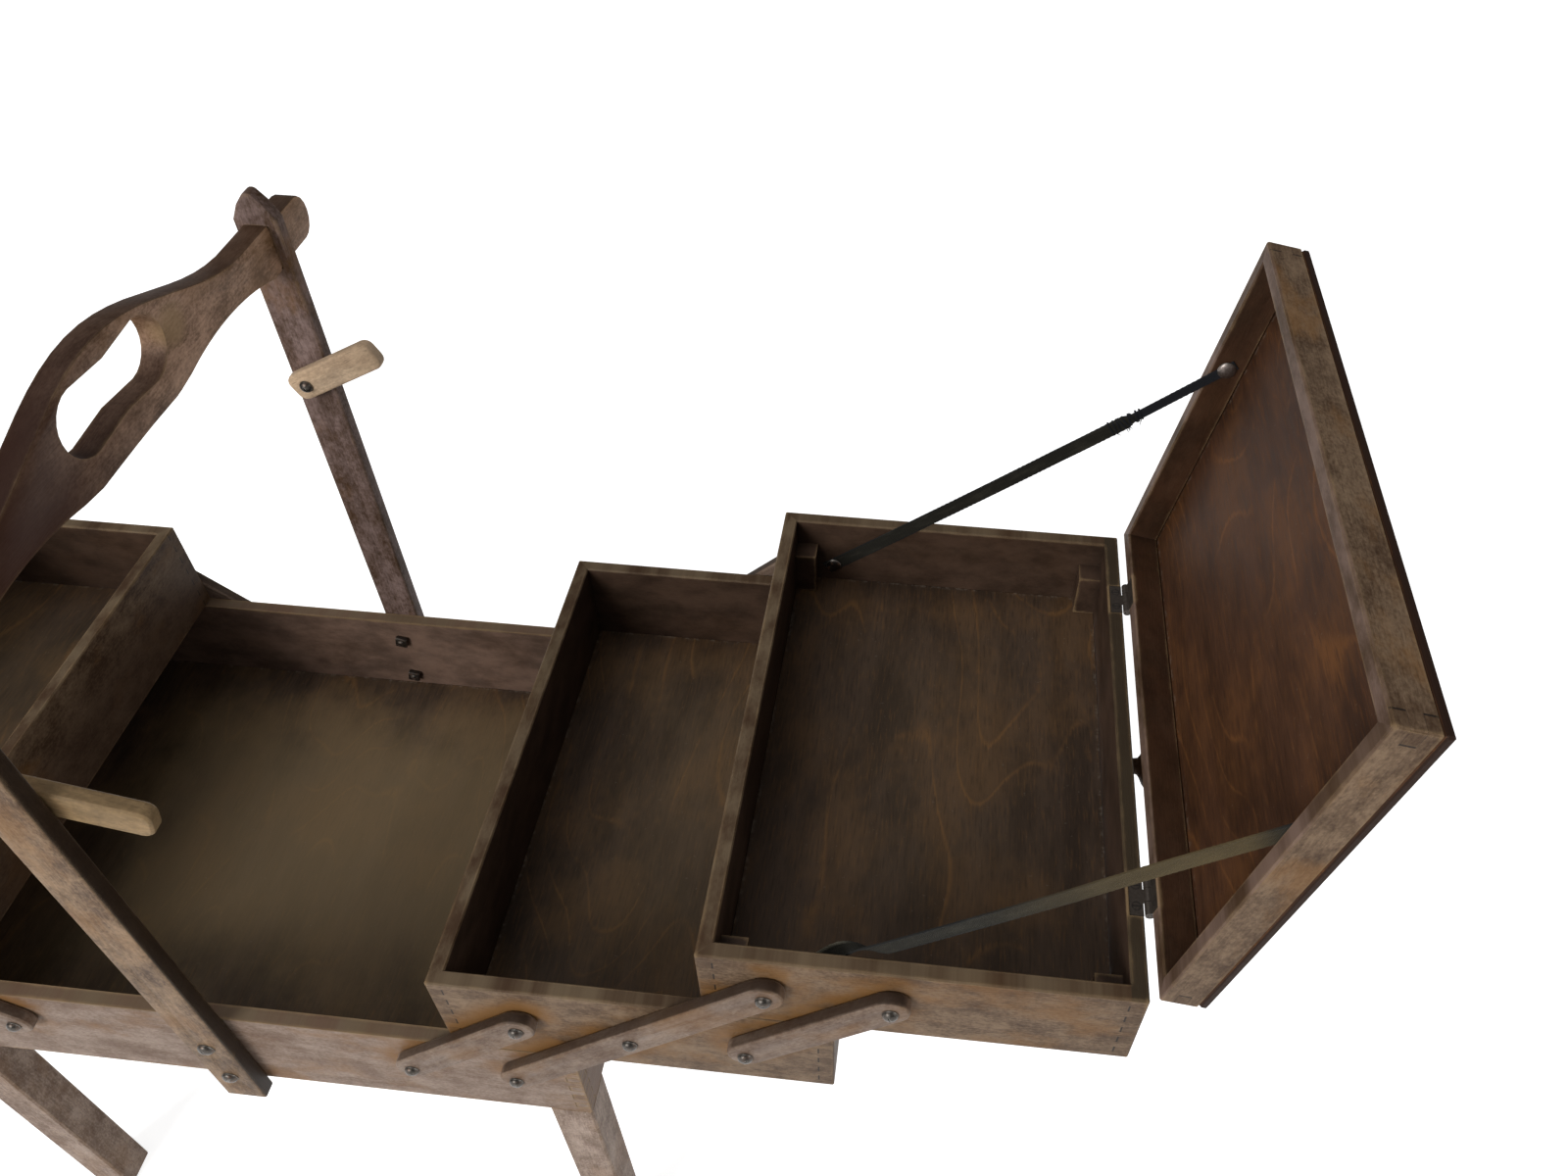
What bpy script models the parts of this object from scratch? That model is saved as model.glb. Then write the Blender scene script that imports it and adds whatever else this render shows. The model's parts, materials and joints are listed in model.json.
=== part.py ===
"""Two-sided cantilever sewing box on four legs, shown open. All sizes are in metres."""
import math

import bpy
import bmesh
from mathutils import Matrix, Vector

# Driving sizes of the carcass
BASE_W = 0.410
BASE_D = 0.300
BASE_H = 0.076
WALL = 0.008
FLOOR_T = 0.004
FLOOR_UP = 0.0065
FINGERS = 13
LEG_LEN = 0.250
LEG_W = 0.025
LEG_D = 0.024
MID_H = 0.070
TOP_H = 0.058
LID_FRAME_H = 0.018
LID_PANEL_T = 0.004
BLOCK = 0.013
BLOCK_DROP = 0.018

# Driving sizes of the linkage
ARM_LEN = 0.095
ARM_ANGLE = 42.4
ARM_W = 0.019
ARM_T = 0.007
PIVOT_IN = 0.0321
PIVOT_STEP = 0.0585
PIVOT_UP = 0.054
STUD_R = 0.002
HEAD_R = 0.0036
HEAD_T = 0.0024

# Driving sizes of the lid fittings
LID_OPEN = 100.0
HINGE_L = 0.021
HINGE_IN = 0.053
HINGE_R = 0.0023
HINGE_LEAF = 0.0065
HINGE_T = 0.0009
PIN_R = 0.001
KNOB_R = 0.0125
KNOB_NECK_R = 0.0045
KNOB_OUT = 0.021
TAPE_W = 0.009
TAPE_T = 0.0008
TAPE_TRAY_X = 0.031
TAPE_TRAY_Z = 0.0235
TAPE_LID_A = 0.134
TAPE_LID_B = 0.008

# Driving sizes of posts, handle and turn buttons
POST_W = 0.024
POST_T = 0.0095
POST_DROP = 0.008
POST_OVER = 0.031
POST_PEAK = 0.0155
BOLT_R = 0.002
BOLT_HEAD_R = 0.0042
BOLT_LOW = 0.0205
BOLT_STEP = 0.0375
NUT_R = 0.0045
NUT_T = 0.004
BOLT_END = 0.0015
GRIP_T = 0.013
GRIP_END_H = 0.027
GRIP_END_Z = 0.368
HOLE_RISE = 0.0195
HOLE_L = 0.085
HOLE_H = 0.033
HOLE_NIP = 0.0024
RAIL_OVER = 0.0075
RAIL_UNDER = 0.014
TENON_H = 0.0245
TENON_OUT = 0.033
BUTTON_REACH = 0.054
BUTTON_TAIL = 0.0105
BUTTON_W = 0.0175
BUTTON_T = 0.008
BUTTON_BACK = 28.0
BUTTON_FRONT = -14.0

# Rounding of handled edges
LEG_ROUND = 0.0012
BOARD_ROUND = 0.001
RIM_ROUND = 0.0007
GRIP_ROUND = 0.0022

# Clearances
GAP = 0.0003
MIDLINE_GAP = 0.0005
LATCH_GAP = 0.001
CUT_OVER = 0.010
WELD = 0.000001

# Fineness of round pieces, and the angles in degrees above which edges are rounded or stay sharp
SCREW_SIDES = 12
HOLE_SIDES = 16
KNOB_SIDES = 20
SOFT = 40.0
SHARP = 35.0

# Derived levels and positions
A = BASE_W / 2
H = BASE_D / 2
Z_BASE = LEG_LEN + GAP
Z_RIM = Z_BASE + BASE_H
Z_MID = Z_RIM + GAP
Z_TOP = Z_MID + MID_H + GAP
Z_TOP_RIM = Z_TOP + TOP_H
Z_LID = Z_TOP_RIM + GAP
LID_H = LID_FRAME_H + LID_PANEL_T
Z_LID_TOP = Z_LID + LID_H
STEP_X = ARM_LEN * math.cos(math.radians(ARM_ANGLE))
STEP_Z = ARM_LEN * math.sin(math.radians(ARM_ANGLE))
TRAY_W = A - MIDLINE_GAP
X_MID = MIDLINE_GAP + 2 * STEP_X
X_TOP = MIDLINE_GAP + 4 * STEP_X
X_END = X_TOP + TRAY_W
LONG_X = A - PIVOT_IN
SHORT_X = LONG_X - PIVOT_STEP
Z_PIVOT = Z_BASE + PIVOT_UP
HINGE_X = X_END + HINGE_R + GAP
HINGE_Z = Z_TOP_RIM + GAP / 2
BUTTON_Z = Z_LID_TOP + LATCH_GAP + BUTTON_REACH
POST_Y = H + GAP
HINGE_Y = H - HINGE_IN
POST_TOP = GRIP_END_Z + POST_OVER
HOLE_Z = GRIP_END_Z + HOLE_RISE
GRIP_TOP = HOLE_Z + HOLE_H / 2 + RAIL_OVER
GRIP_LOW = HOLE_Z - HOLE_H / 2 - RAIL_UNDER

PARTS = None
CUTTERS = None


def start():
    """Empty the scene and make the two collections."""
    global PARTS, CUTTERS
    for obj in list(bpy.data.objects):
        bpy.data.objects.remove(obj, do_unlink=True)
    PARTS = bpy.data.collections.new("sewing_box")
    CUTTERS = bpy.data.collections.new("cutters")
    bpy.context.scene.collection.children.link(PARTS)
    bpy.context.scene.collection.children.link(CUTTERS)


def material(name, rgb, rough, metal=0.0):
    """A plain Principled material for one piece."""
    mat = bpy.data.materials.new(name)
    mat.use_nodes = True
    node = mat.node_tree.nodes["Principled BSDF"]
    node.inputs["Base Color"].default_value = (rgb[0], rgb[1], rgb[2], 1.0)
    node.inputs["Roughness"].default_value = rough
    node.inputs["Metallic"].default_value = metal
    return mat


def wood(name, shade):
    """Dark stained wood, a little lighter or darker by piece."""
    return material(name, (0.085 * shade, 0.042 * shade, 0.022 * shade), 0.55)


def metal(name):
    """Dull blackened metal."""
    return material(name, (0.05, 0.045, 0.04), 0.45, 0.9)


def finish(name, bm, mat, origin=(0.0, 0.0, 0.0), turn=0.0, soft=0.0, segments=1, cutter=False):
    """Turn a built mesh into an object with its origin on its axis."""
    bm.normal_update()
    bmesh.ops.recalc_face_normals(bm, faces=bm.faces[:])
    if soft > 0.0:
        layer = bm.edges.layers.float.new("bevel_weight_edge")
        for edge in bm.edges:
            if len(edge.link_faces) == 2 and edge.is_convex and edge.calc_face_angle() > math.radians(SOFT):
                edge[layer] = 1.0
    bmesh.ops.translate(bm, verts=bm.verts[:], vec=-Vector(origin))
    mesh = bpy.data.meshes.new(name)
    bm.to_mesh(mesh)
    bm.free()
    obj = bpy.data.objects.new(name, mesh)
    obj.location = origin
    obj.rotation_euler = (0.0, math.radians(turn), 0.0)
    if cutter:
        obj.hide_render = True
        obj.display_type = "WIRE"
        CUTTERS.objects.link(obj)
        return obj
    mesh.materials.append(mat)
    mesh.shade_smooth()
    mesh.set_sharp_from_angle(angle=math.radians(SHARP))
    PARTS.objects.link(obj)
    if soft > 0.0:
        mod = obj.modifiers.new("soft_edges", "BEVEL")
        mod.limit_method = "WEIGHT"
        mod.width = soft
        mod.segments = segments
    return obj


def combine(obj, other, operation):
    """Join to or cut from a piece with an exact Boolean."""
    mod = obj.modifiers.new(other.name, "BOOLEAN")
    mod.operation = operation
    mod.solver = "EXACT"
    mod.object = other


def evaluated(helper):
    """Mesh of a helper object as its settings and modifiers make it; the helper goes."""
    CUTTERS.objects.link(helper)
    graph = bpy.context.evaluated_depsgraph_get()
    mesh = bpy.data.meshes.new_from_object(helper.evaluated_get(graph))
    bpy.data.objects.remove(helper, do_unlink=True)
    return mesh


def add_mesh(bm, mesh):
    """Add a helper's mesh to a piece and drop the helper's copy."""
    bm.from_mesh(mesh)
    bpy.data.meshes.remove(mesh)


def add_prism(bm, outline, axis, low, high):
    """Add a filled flat outline that reaches along the axis from one level to the other."""
    curve = bpy.data.curves.new("outline", "CURVE")
    curve.dimensions = "2D"
    curve.fill_mode = "BOTH"
    curve.extrude = (high - low) / 2
    spline = curve.splines.new("POLY")
    spline.points.add(len(outline) - 1)
    for point, (u, v) in zip(spline.points, outline):
        point.co = (u, v, 0.0, 1.0)
    spline.use_cyclic_u = True
    slab = bmesh.new()
    add_mesh(slab, evaluated(bpy.data.objects.new("outline", curve)))
    bmesh.ops.remove_doubles(slab, verts=slab.verts[:], dist=WELD)
    caps = {face for face in slab.faces if len({vert.co.z > 0.0 for vert in face.verts}) == 1}
    flat = [edge for edge in slab.edges if caps.issuperset(edge.link_faces)]
    bmesh.ops.dissolve_edges(slab, edges=flat, use_verts=False)
    for vert in slab.verts:
        u, v, side = vert.co
        level = high if side > 0.0 else low
        vert.co = {"X": (level, u, v), "Y": (u, level, v), "Z": (u, v, level)}[axis]
    mesh = bpy.data.meshes.new("slab")
    slab.to_mesh(mesh)
    slab.free()
    add_mesh(bm, mesh)


def add_box(bm, low, high):
    """Add a cube whose corners are pulled to the corners of a box."""
    verts = bmesh.ops.create_cube(bm, size=2.0)["verts"]
    for vert in verts:
        vert.co = [b if side > 0.0 else a for side, a, b in zip(vert.co, low, high)]
    return verts


def add_ring(bm, x0, x1, half_y, z0, z1, wall):
    """Add a four-walled frame: a box whose inset top and bottom are bridged into one hole."""
    x0, x1 = sorted((x0, x1))
    verts = add_box(bm, (x0, -half_y, z0), (x1, half_y, z1))
    bm.normal_update()
    faces = {face for vert in verts for face in vert.link_faces}
    ends = [face for face in faces if abs(face.normal.z) > 0.5]
    bmesh.ops.inset_individual(bm, faces=ends, thickness=wall, use_even_offset=True)
    edges = [edge for face in ends for edge in face.edges]
    bmesh.ops.delete(bm, geom=ends, context="FACES_ONLY")
    bmesh.ops.bridge_loops(bm, edges=edges)


def add_turned(bm, profile, axis, centre, segments):
    """Add a turned body; its profile is (radius, distance along the axis)."""
    mesh = bpy.data.meshes.new("profile")
    points = [(radius, 0.0, along) for radius, along in reversed(profile)]
    mesh.from_pydata(points, [(k, k + 1) for k in range(len(points) - 1)], [])
    helper = bpy.data.objects.new("profile", mesh)
    screw = helper.modifiers.new("turn", "SCREW")
    screw.steps = segments
    screw.render_steps = segments
    screw.use_merge_vertices = True
    screw.merge_threshold = WELD
    body = evaluated(helper)
    body.transform(Matrix.Translation(centre) @ axis.to_track_quat("Z", "Y").to_matrix().to_4x4())
    add_mesh(bm, body)


def add_rod(bm, radius, axis, low, high, segments=HOLE_SIDES):
    """Add a plain cylinder between two points along an axis."""
    span = Vector(high) - Vector(low)
    place = Matrix.Translation(Vector(low) + span / 2) @ axis.to_track_quat("Z", "Y").to_matrix().to_4x4()
    bmesh.ops.create_cone(
        bm, cap_ends=True, segments=segments, radius1=radius, radius2=radius, depth=span.length, matrix=place)


def stadium(x0, x1, radius, steps=8):
    """Outline with two round ends along the first coordinate."""
    points = []
    for k in range(steps + 1):
        t = math.pi / 2 - math.pi * k / steps
        points.append((x1 + radius * math.cos(t), radius * math.sin(t)))
    for k in range(steps + 1):
        t = -math.pi / 2 - math.pi * k / steps
        points.append((x0 + radius * math.cos(t), radius * math.sin(t)))
    return points


def turned(points, degrees, u, v):
    """Turn an outline in its plane and move it."""
    c = math.cos(math.radians(degrees))
    s = math.sin(math.radians(degrees))
    return [(u + c * a - s * b, v + s * a + c * b) for a, b in points]


def round_head(radius, seat):
    """Profile of a low round head whose underside lies at the seat."""
    return [(radius, seat), (radius * 0.8, seat + HEAD_T * 0.75), (0.0, seat + HEAD_T)]


def pivot_screws(name, points, ends=(-1.0, 1.0)):
    """Screw shanks and round heads that stand out of the front and back walls."""
    bm = bmesh.new()
    seat = ARM_T + 2 * GAP
    root = WALL / 2
    profile = [(0.0, -root), (STUD_R, -root), (STUD_R, seat)] + round_head(HEAD_R, seat)
    for x, z in points:
        for side in ends:
            add_turned(bm, profile, Vector((0.0, side, 0.0)), Vector((x, side * H, z)), SCREW_SIDES)
    return finish(name, bm, None, cutter=True)


def bolt_bores(name, side, inner, outer):
    """Clearance bores for the two bolts of one post."""
    bm = bmesh.new()
    for k in range(2):
        z = Z_BASE + BOLT_LOW + k * BOLT_STEP
        add_rod(bm, BOLT_R + GAP, Vector((0.0, side, 0.0)), (0.0, side * inner, z), (0.0, side * outer, z))
    return finish(name, bm, None, cutter=True)


def finger_outline(half, depth, first, low, high):
    """Board outline with comb-jointed ends; first tells which fingers reach out."""
    pitch = (high - low) / FINGERS
    play = GAP / 2
    right = []
    for k in range(FINGERS):
        reach = half if (k % 2 == 0) == first else half - depth - play
        trim = play if (k % 2 == 0) == first else -play
        z0 = low if k == 0 else low + k * pitch + trim
        z1 = high if k == FINGERS - 1 else low + (k + 1) * pitch - trim
        right.append((reach, z0))
        right.append((reach, z1))
    left = [(-u, v) for u, v in reversed(right)]
    return right + left


def build_base():
    """Comb-jointed base tray with its inset floor and four legs."""
    pivots = [(s * x, Z_PIVOT) for s in (-1, 1) for x in (LONG_X, SHORT_X)]
    for tag, side in (("front", -1.0), ("back", 1.0)):
        bm = bmesh.new()
        y0, y1 = sorted((side * H, side * (H - WALL)))
        add_prism(bm, finger_outline(A, WALL, True, Z_BASE, Z_RIM), "Y", y0, y1)
        wall = finish("base_%s_wall" % tag, bm, wood("stain_base_%s" % tag, 1.0))
        combine(wall, pivot_screws("base_screws_%s" % tag, pivots, (side,)), "UNION")
        combine(wall, bolt_bores("wall_bores_%s" % tag, side, H - 2 * WALL, H + WALL), "DIFFERENCE")
    for tag, side in (("left", -1.0), ("right", 1.0)):
        bm = bmesh.new()
        x0, x1 = sorted((side * A, side * (A - WALL)))
        add_prism(bm, finger_outline(H, WALL, False, Z_BASE, Z_RIM), "X", x0, x1)
        finish("base_%s_wall" % tag, bm, wood("stain_base_%s" % tag, 0.95))
    bm = bmesh.new()
    inset = WALL + GAP
    z0 = Z_BASE + FLOOR_UP
    add_box(bm, (-A + inset, -H + inset, z0), (A - inset, H - inset, z0 + FLOOR_T))
    finish("base_floor", bm, wood("stain_base_floor", 1.15))
    for tag, sx, sy in (("fl", -1, -1), ("fr", 1, -1), ("bl", -1, 1), ("br", 1, 1)):
        bm = bmesh.new()
        add_box(bm, (sx * (A - LEG_W), sy * (H - LEG_D), 0.0), (sx * A, sy * H, LEG_LEN))
        finish("leg_%s" % tag, bm, wood("stain_leg_%s" % tag, 0.9), soft=LEG_ROUND)


def build_post(tag, side):
    """Peaked post with its mortise, its bolt bores and the screw that carries the turn button."""
    half = POST_W / 2
    low = Z_BASE - POST_DROP
    top = Z_BASE + POST_TOP
    shoulder = top - POST_PEAK
    slope = [(half, shoulder), (half * 0.62, shoulder + POST_PEAK * 0.56), (half * 0.14, top)]
    outline = [(-half, low), (half, low)] + slope + [(-x, z) for x, z in reversed(slope)]
    y0, y1 = sorted((side * POST_Y, side * (POST_Y + POST_T)))
    bm = bmesh.new()
    add_prism(bm, outline, "Y", y0, y1)
    post = finish("post_%s" % tag, bm, wood("stain_post_%s" % tag, 1.05), soft=BOARD_ROUND)
    outside = POST_Y + 2 * POST_T
    deep = GRIP_T / 2 + GAP
    tall = TENON_H / 2 + GAP
    mid = Z_BASE + GRIP_END_Z
    cut = bmesh.new()
    add_box(cut, (-deep, side * H, mid - tall), (deep, side * outside, mid + tall))
    combine(post, finish("mortise_%s" % tag, cut, None, cutter=True), "DIFFERENCE")
    combine(post, bolt_bores("post_bores_%s" % tag, side, H - WALL, outside), "DIFFERENCE")
    seat = BUTTON_T + 2 * GAP
    root = POST_T / 3
    profile = [(0.0, -root), (STUD_R, -root), (STUD_R, seat)] + round_head(HEAD_R, seat)
    stud = bmesh.new()
    centre = Vector((0.0, side * POST_Y, BUTTON_Z))
    add_turned(stud, profile, Vector((0.0, -side, 0.0)), centre, SCREW_SIDES)
    combine(post, finish("button_screw_%s" % tag, stud, None, cutter=True), "UNION")


def build_bolts(tag, side):
    """The two bolts of a post, nuts inside the base and round heads outside the post."""
    nut = -GAP - NUT_T
    seat = WALL + GAP + POST_T + GAP
    profile = [(0.0, nut - BOLT_END), (BOLT_R, nut - BOLT_END), (BOLT_R, nut), (NUT_R, nut)]
    profile += [(NUT_R, -GAP), (BOLT_R, -GAP), (BOLT_R, seat)] + round_head(BOLT_HEAD_R, seat)
    for k, word in enumerate(("low", "high")):
        centre = Vector((0.0, side * (H - WALL), Z_BASE + BOLT_LOW + k * BOLT_STEP))
        bm = bmesh.new()
        add_turned(bm, profile, Vector((0.0, side, 0.0)), centre, SCREW_SIDES)
        finish("bolt_%s_%s" % (tag, word), bm, metal("iron_bolt_%s_%s" % (tag, word)))


def build_button(tag, side, angle):
    """Turn button with rounded corners, bored for its screw and turned from level."""
    round_r = BUTTON_W * 0.3
    flat = BUTTON_W / 2 - round_r
    tip = BUTTON_REACH - round_r
    tail = round_r - BUTTON_TAIL
    outline = []
    for cx, cy, start in ((tip, flat, 90), (tip, -flat, 0), (tail, -flat, -90), (tail, flat, 180)):
        for k in range(5):
            t = math.radians(start - 90 * k / 4)
            outline.append((cx + round_r * math.cos(t), BUTTON_Z + cy + round_r * math.sin(t)))
    face = POST_Y - GAP
    y0, y1 = sorted((side * face, side * (face - BUTTON_T)))
    bm = bmesh.new()
    add_prism(bm, outline, "Y", y0, y1)
    spot = (0.0, side * (face - BUTTON_T / 2), BUTTON_Z)
    button = finish("turn_button_%s" % tag, bm, wood("stain_button_%s" % tag, 1.3), spot, -angle, soft=LEG_ROUND)
    bore = bmesh.new()
    low = (0.0, side * (POST_Y - BUTTON_T - CUT_OVER), BUTTON_Z)
    high = (0.0, side * (POST_Y + CUT_OVER), BUTTON_Z)
    add_rod(bore, STUD_R + GAP, Vector((0.0, side, 0.0)), low, high)
    combine(button, finish("button_bore_%s" % tag, bore, None, cutter=True), "DIFFERENCE")


def build_posts():
    """Both posts with their bolts and turn buttons, and the handle board through them."""
    for tag, side, angle in (("front", -1.0, BUTTON_FRONT), ("back", 1.0, BUTTON_BACK)):
        build_post(tag, side)
        build_bolts(tag, side)
        build_button(tag, side, angle)
    build_handle()


def build_handle():
    """Arched handle board with a waisted hand hole and tenons."""
    end = POST_Y - GAP
    tip = POST_Y + POST_T + TENON_OUT
    half_end = GRIP_END_H / 2
    steps = 14
    upper = []
    lower = []
    for k in range(steps + 1):
        y = end * k / steps
        blend = 0.5 + 0.5 * math.cos(math.pi * min(1.0, y / (0.82 * end)))
        rise = GRIP_TOP - GRIP_END_Z - half_end
        sink = GRIP_END_Z - half_end - GRIP_LOW
        upper.append((y, Z_BASE + GRIP_END_Z + half_end + rise * blend))
        lower.append((y, Z_BASE + GRIP_END_Z - half_end - sink * blend))
    tab = []
    radius = TENON_H / 2
    for k in range(9):
        t = math.pi / 2 - math.pi * k / 8
        out = 0.8 * radius * math.cos(t)
        tab.append((tip - 0.8 * radius + out, Z_BASE + GRIP_END_Z + radius * math.sin(t)))
    bm = bmesh.new()
    add_prism(bm, handle_loop(upper, lower, tab, end), "X", -GRIP_T / 2, GRIP_T / 2)
    grip = finish("handle_board", bm, wood("stain_handle", 1.0), soft=GRIP_ROUND, segments=2)
    cut = bmesh.new()
    add_prism(cut, hole_loop(), "X", -GRIP_T, GRIP_T)
    combine(grip, finish("hand_hole", cut, None, cutter=True), "DIFFERENCE")


def handle_loop(upper, lower, tab, end):
    """Closed outline of the handle board, front half mirrored from the back half."""
    right = list(upper)
    right += [(end, tab[0][1])]
    right += tab
    right += [(end, tab[-1][1])]
    right += lower[::-1]
    left = [(-u, v) for u, v in reversed(right)]
    return right + left[1:-1]


def hole_loop():
    """Hand hole outline with round ends and a slightly narrower middle."""
    radius = HOLE_H / 2
    straight = HOLE_L / 2 - radius
    points = []
    for side in (1.0, -1.0):
        for k in range(13):
            t = side * math.pi / 2 - math.pi * k / 12
            points.append((side * straight + radius * math.cos(t), HOLE_Z + radius * math.sin(t)))
        points.append((0.0, HOLE_Z - side * (radius - HOLE_NIP)))
    return [(u, Z_BASE + v) for u, v in points]


def add_arm(name, side, front, x, z, count, shade):
    """One arm with its pivot holes, origin on its lower pivot."""
    length = ARM_LEN * count
    angle = ARM_ANGLE if side > 0 else 180.0 - ARM_ANGLE
    outline = turned(stadium(0.0, length, ARM_W / 2), angle, side * x, z)
    y0, y1 = sorted((front * (H + GAP), front * (H + GAP + ARM_T)))
    bm = bmesh.new()
    add_prism(bm, outline, "Y", y0, y1)
    spot = (side * x, front * (H + GAP + ARM_T / 2), z)
    arm = finish(name, bm, wood("stain_" + name, shade), spot, soft=BOARD_ROUND)
    holes = bmesh.new()
    for k in range(count + 1):
        px = side * (x + k * STEP_X)
        pz = z + k * STEP_Z
        low = (px, front * (H - CUT_OVER), pz)
        high = (px, front * (H + ARM_T + CUT_OVER), pz)
        add_rod(holes, STUD_R + GAP, Vector((0.0, front, 0.0)), low, high)
    combine(arm, finish("holes_" + name, holes, None, cutter=True), "DIFFERENCE")


def build_arms(tag, side):
    """Six arms of one side."""
    for word, front in (("front", -1.0), ("back", 1.0)):
        add_arm("%s_long_arm_%s" % (tag, word), side, front, LONG_X, Z_PIVOT, 2, 1.1)
        add_arm("%s_lower_arm_%s" % (tag, word), side, front, SHORT_X, Z_PIVOT, 1, 1.15)
        upper_x = LONG_X + STEP_X + PIVOT_STEP
        add_arm("%s_upper_arm_%s" % (tag, word), side, front, upper_x, Z_PIVOT + STEP_Z, 1, 1.05)


def add_floor(name, x0, x1, z, origin, shade):
    """Inset plywood floor of a tray."""
    inset = WALL + GAP
    bm = bmesh.new()
    add_box(bm, (x0, -H + inset, z + FLOOR_UP), (x1, H - inset, z + FLOOR_UP + FLOOR_T))
    finish(name, bm, wood("stain_" + name, shade), origin)


def build_mid_tray(tag, side):
    """Middle tray of one side with its pivot screws and floor."""
    origin = (side * (LONG_X + STEP_X), 0.0, Z_PIVOT + STEP_Z)
    bm = bmesh.new()
    add_ring(bm, side * X_MID, side * (X_MID + TRAY_W), H, Z_MID, Z_MID + MID_H, WALL)
    tray = finish("%s_mid_frame" % tag, bm, wood("stain_%s_mid" % tag, 1.0), origin, soft=RIM_ROUND)
    level = Z_PIVOT + STEP_Z
    places = (SHORT_X + STEP_X, LONG_X + STEP_X, LONG_X + STEP_X + PIVOT_STEP)
    screws = pivot_screws("%s_mid_screws" % tag, [(side * x, level) for x in places])
    combine(tray, screws, "UNION")
    inset = WALL + GAP
    x0 = side * (X_MID + inset)
    x1 = side * (X_MID + TRAY_W - inset)
    add_floor("%s_mid_floor" % tag, x0, x1, Z_MID, origin, 1.15)


def build_top_tray(tag, side, origin):
    """Top tray of one side with its corner blocks, pivot screws, hinge rebates and floor."""
    bm = bmesh.new()
    add_ring(bm, side * X_TOP, side * X_END, H, Z_TOP, Z_TOP_RIM, WALL)
    tray = finish("%s_top_frame" % tag, bm, wood("stain_%s_top" % tag, 1.0), origin, soft=RIM_ROUND)
    blocks = bmesh.new()
    root = WALL / 2
    low = Z_TOP + FLOOR_UP + FLOOR_T + GAP
    high = Z_TOP_RIM - BLOCK_DROP
    for near, far in ((X_TOP + root, X_TOP + WALL + BLOCK), (X_END - root, X_END - WALL - BLOCK)):
        for front in (-1.0, 1.0):
            corner = (side * near, front * (H - root), low)
            add_box(blocks, corner, (side * far, front * (H - WALL - BLOCK), high))
    combine(tray, finish("%s_blocks" % tag, blocks, None, cutter=True), "UNION")
    level = Z_PIVOT + 2 * STEP_Z
    places = (LONG_X + 2 * STEP_X, LONG_X + 2 * STEP_X + PIVOT_STEP)
    screws = pivot_screws("%s_top_screws" % tag, [(side * x, level) for x in places])
    combine(tray, screws, "UNION")
    cut = bmesh.new()
    half = HINGE_L / 2 + GAP
    for y in (-HINGE_Y, HINGE_Y):
        corner = (side * (X_END - HINGE_LEAF - GAP), y - half, Z_TOP_RIM - HINGE_T - GAP)
        add_box(cut, corner, (side * (X_END + CUT_OVER), y + half, Z_TOP_RIM + CUT_OVER))
    combine(tray, finish("%s_tray_rebates" % tag, cut, None, cutter=True), "DIFFERENCE")
    inset = WALL + GAP
    x0 = side * (X_TOP + inset)
    x1 = side * (X_END - inset)
    add_floor("%s_top_floor" % tag, x0, x1, Z_TOP, origin, 1.1)


def build_knob(tag, side, origin):
    """Turned knob on the outer wall of the top tray."""
    profile = [
        (0.0, GAP),
        (KNOB_NECK_R * 1.2, GAP),
        (KNOB_NECK_R, KNOB_OUT * 0.25),
        (KNOB_NECK_R * 1.1, KNOB_OUT * 0.42),
        (KNOB_R * 0.8, KNOB_OUT * 0.55),
        (KNOB_R, KNOB_OUT * 0.7),
        (KNOB_R * 0.86, KNOB_OUT * 0.88),
        (KNOB_R * 0.5, KNOB_OUT * 0.97),
        (0.0, KNOB_OUT),
    ]
    bm = bmesh.new()
    centre = Vector((side * X_END, 0.0, Z_TOP + TOP_H / 2))
    add_turned(bm, profile, Vector((side, 0.0, 0.0)), centre, KNOB_SIDES)
    finish("%s_knob" % tag, bm, wood("stain_%s_knob" % tag, 0.8), origin)


def leaf_outline(side, up):
    """Section of a hinge leaf through its knuckle; up is 1 for the lid's leaf."""
    face = GAP / 2
    near = HINGE_LEAF + HINGE_R + GAP
    flat = -math.sqrt(HINGE_R ** 2 - face ** 2)
    edge = -math.sqrt(HINGE_R ** 2 - (face + HINGE_T) ** 2)
    start = math.atan2(face + HINGE_T, edge)
    stop = math.atan2(face, flat) - 2 * math.pi
    points = [(-near, face), (-near, face + HINGE_T)]
    for k in range(13):
        t = start + (stop - start) * k / 12
        points.append((HINGE_R * math.cos(t), HINGE_R * math.sin(t)))
    return [(side * (HINGE_X + u), HINGE_Z + up * v) for u, v in points]


def add_plate(bm, outline, axis, low, high):
    """Fill an outline drawn across an axis and pull it out to a plate."""
    place = {"Y": lambda u, v, d: (u, d, v), "Z": lambda u, v, d: (u, v, d)}[axis]
    corners = [bm.verts.new(place(u, v, low)) for u, v in outline]
    face = bm.faces.new(corners)
    pulled = bmesh.ops.extrude_face_region(bm, geom=[face], use_keep_orig=True)
    for item in pulled["geom"]:
        if isinstance(item, bmesh.types.BMVert):
            item.co = place(*{"Y": (item.co.x, item.co.z), "Z": (item.co.x, item.co.y)}[axis], high)
    bm.normal_update()
    bmesh.ops.recalc_face_normals(bm, faces=bm.faces)


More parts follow.
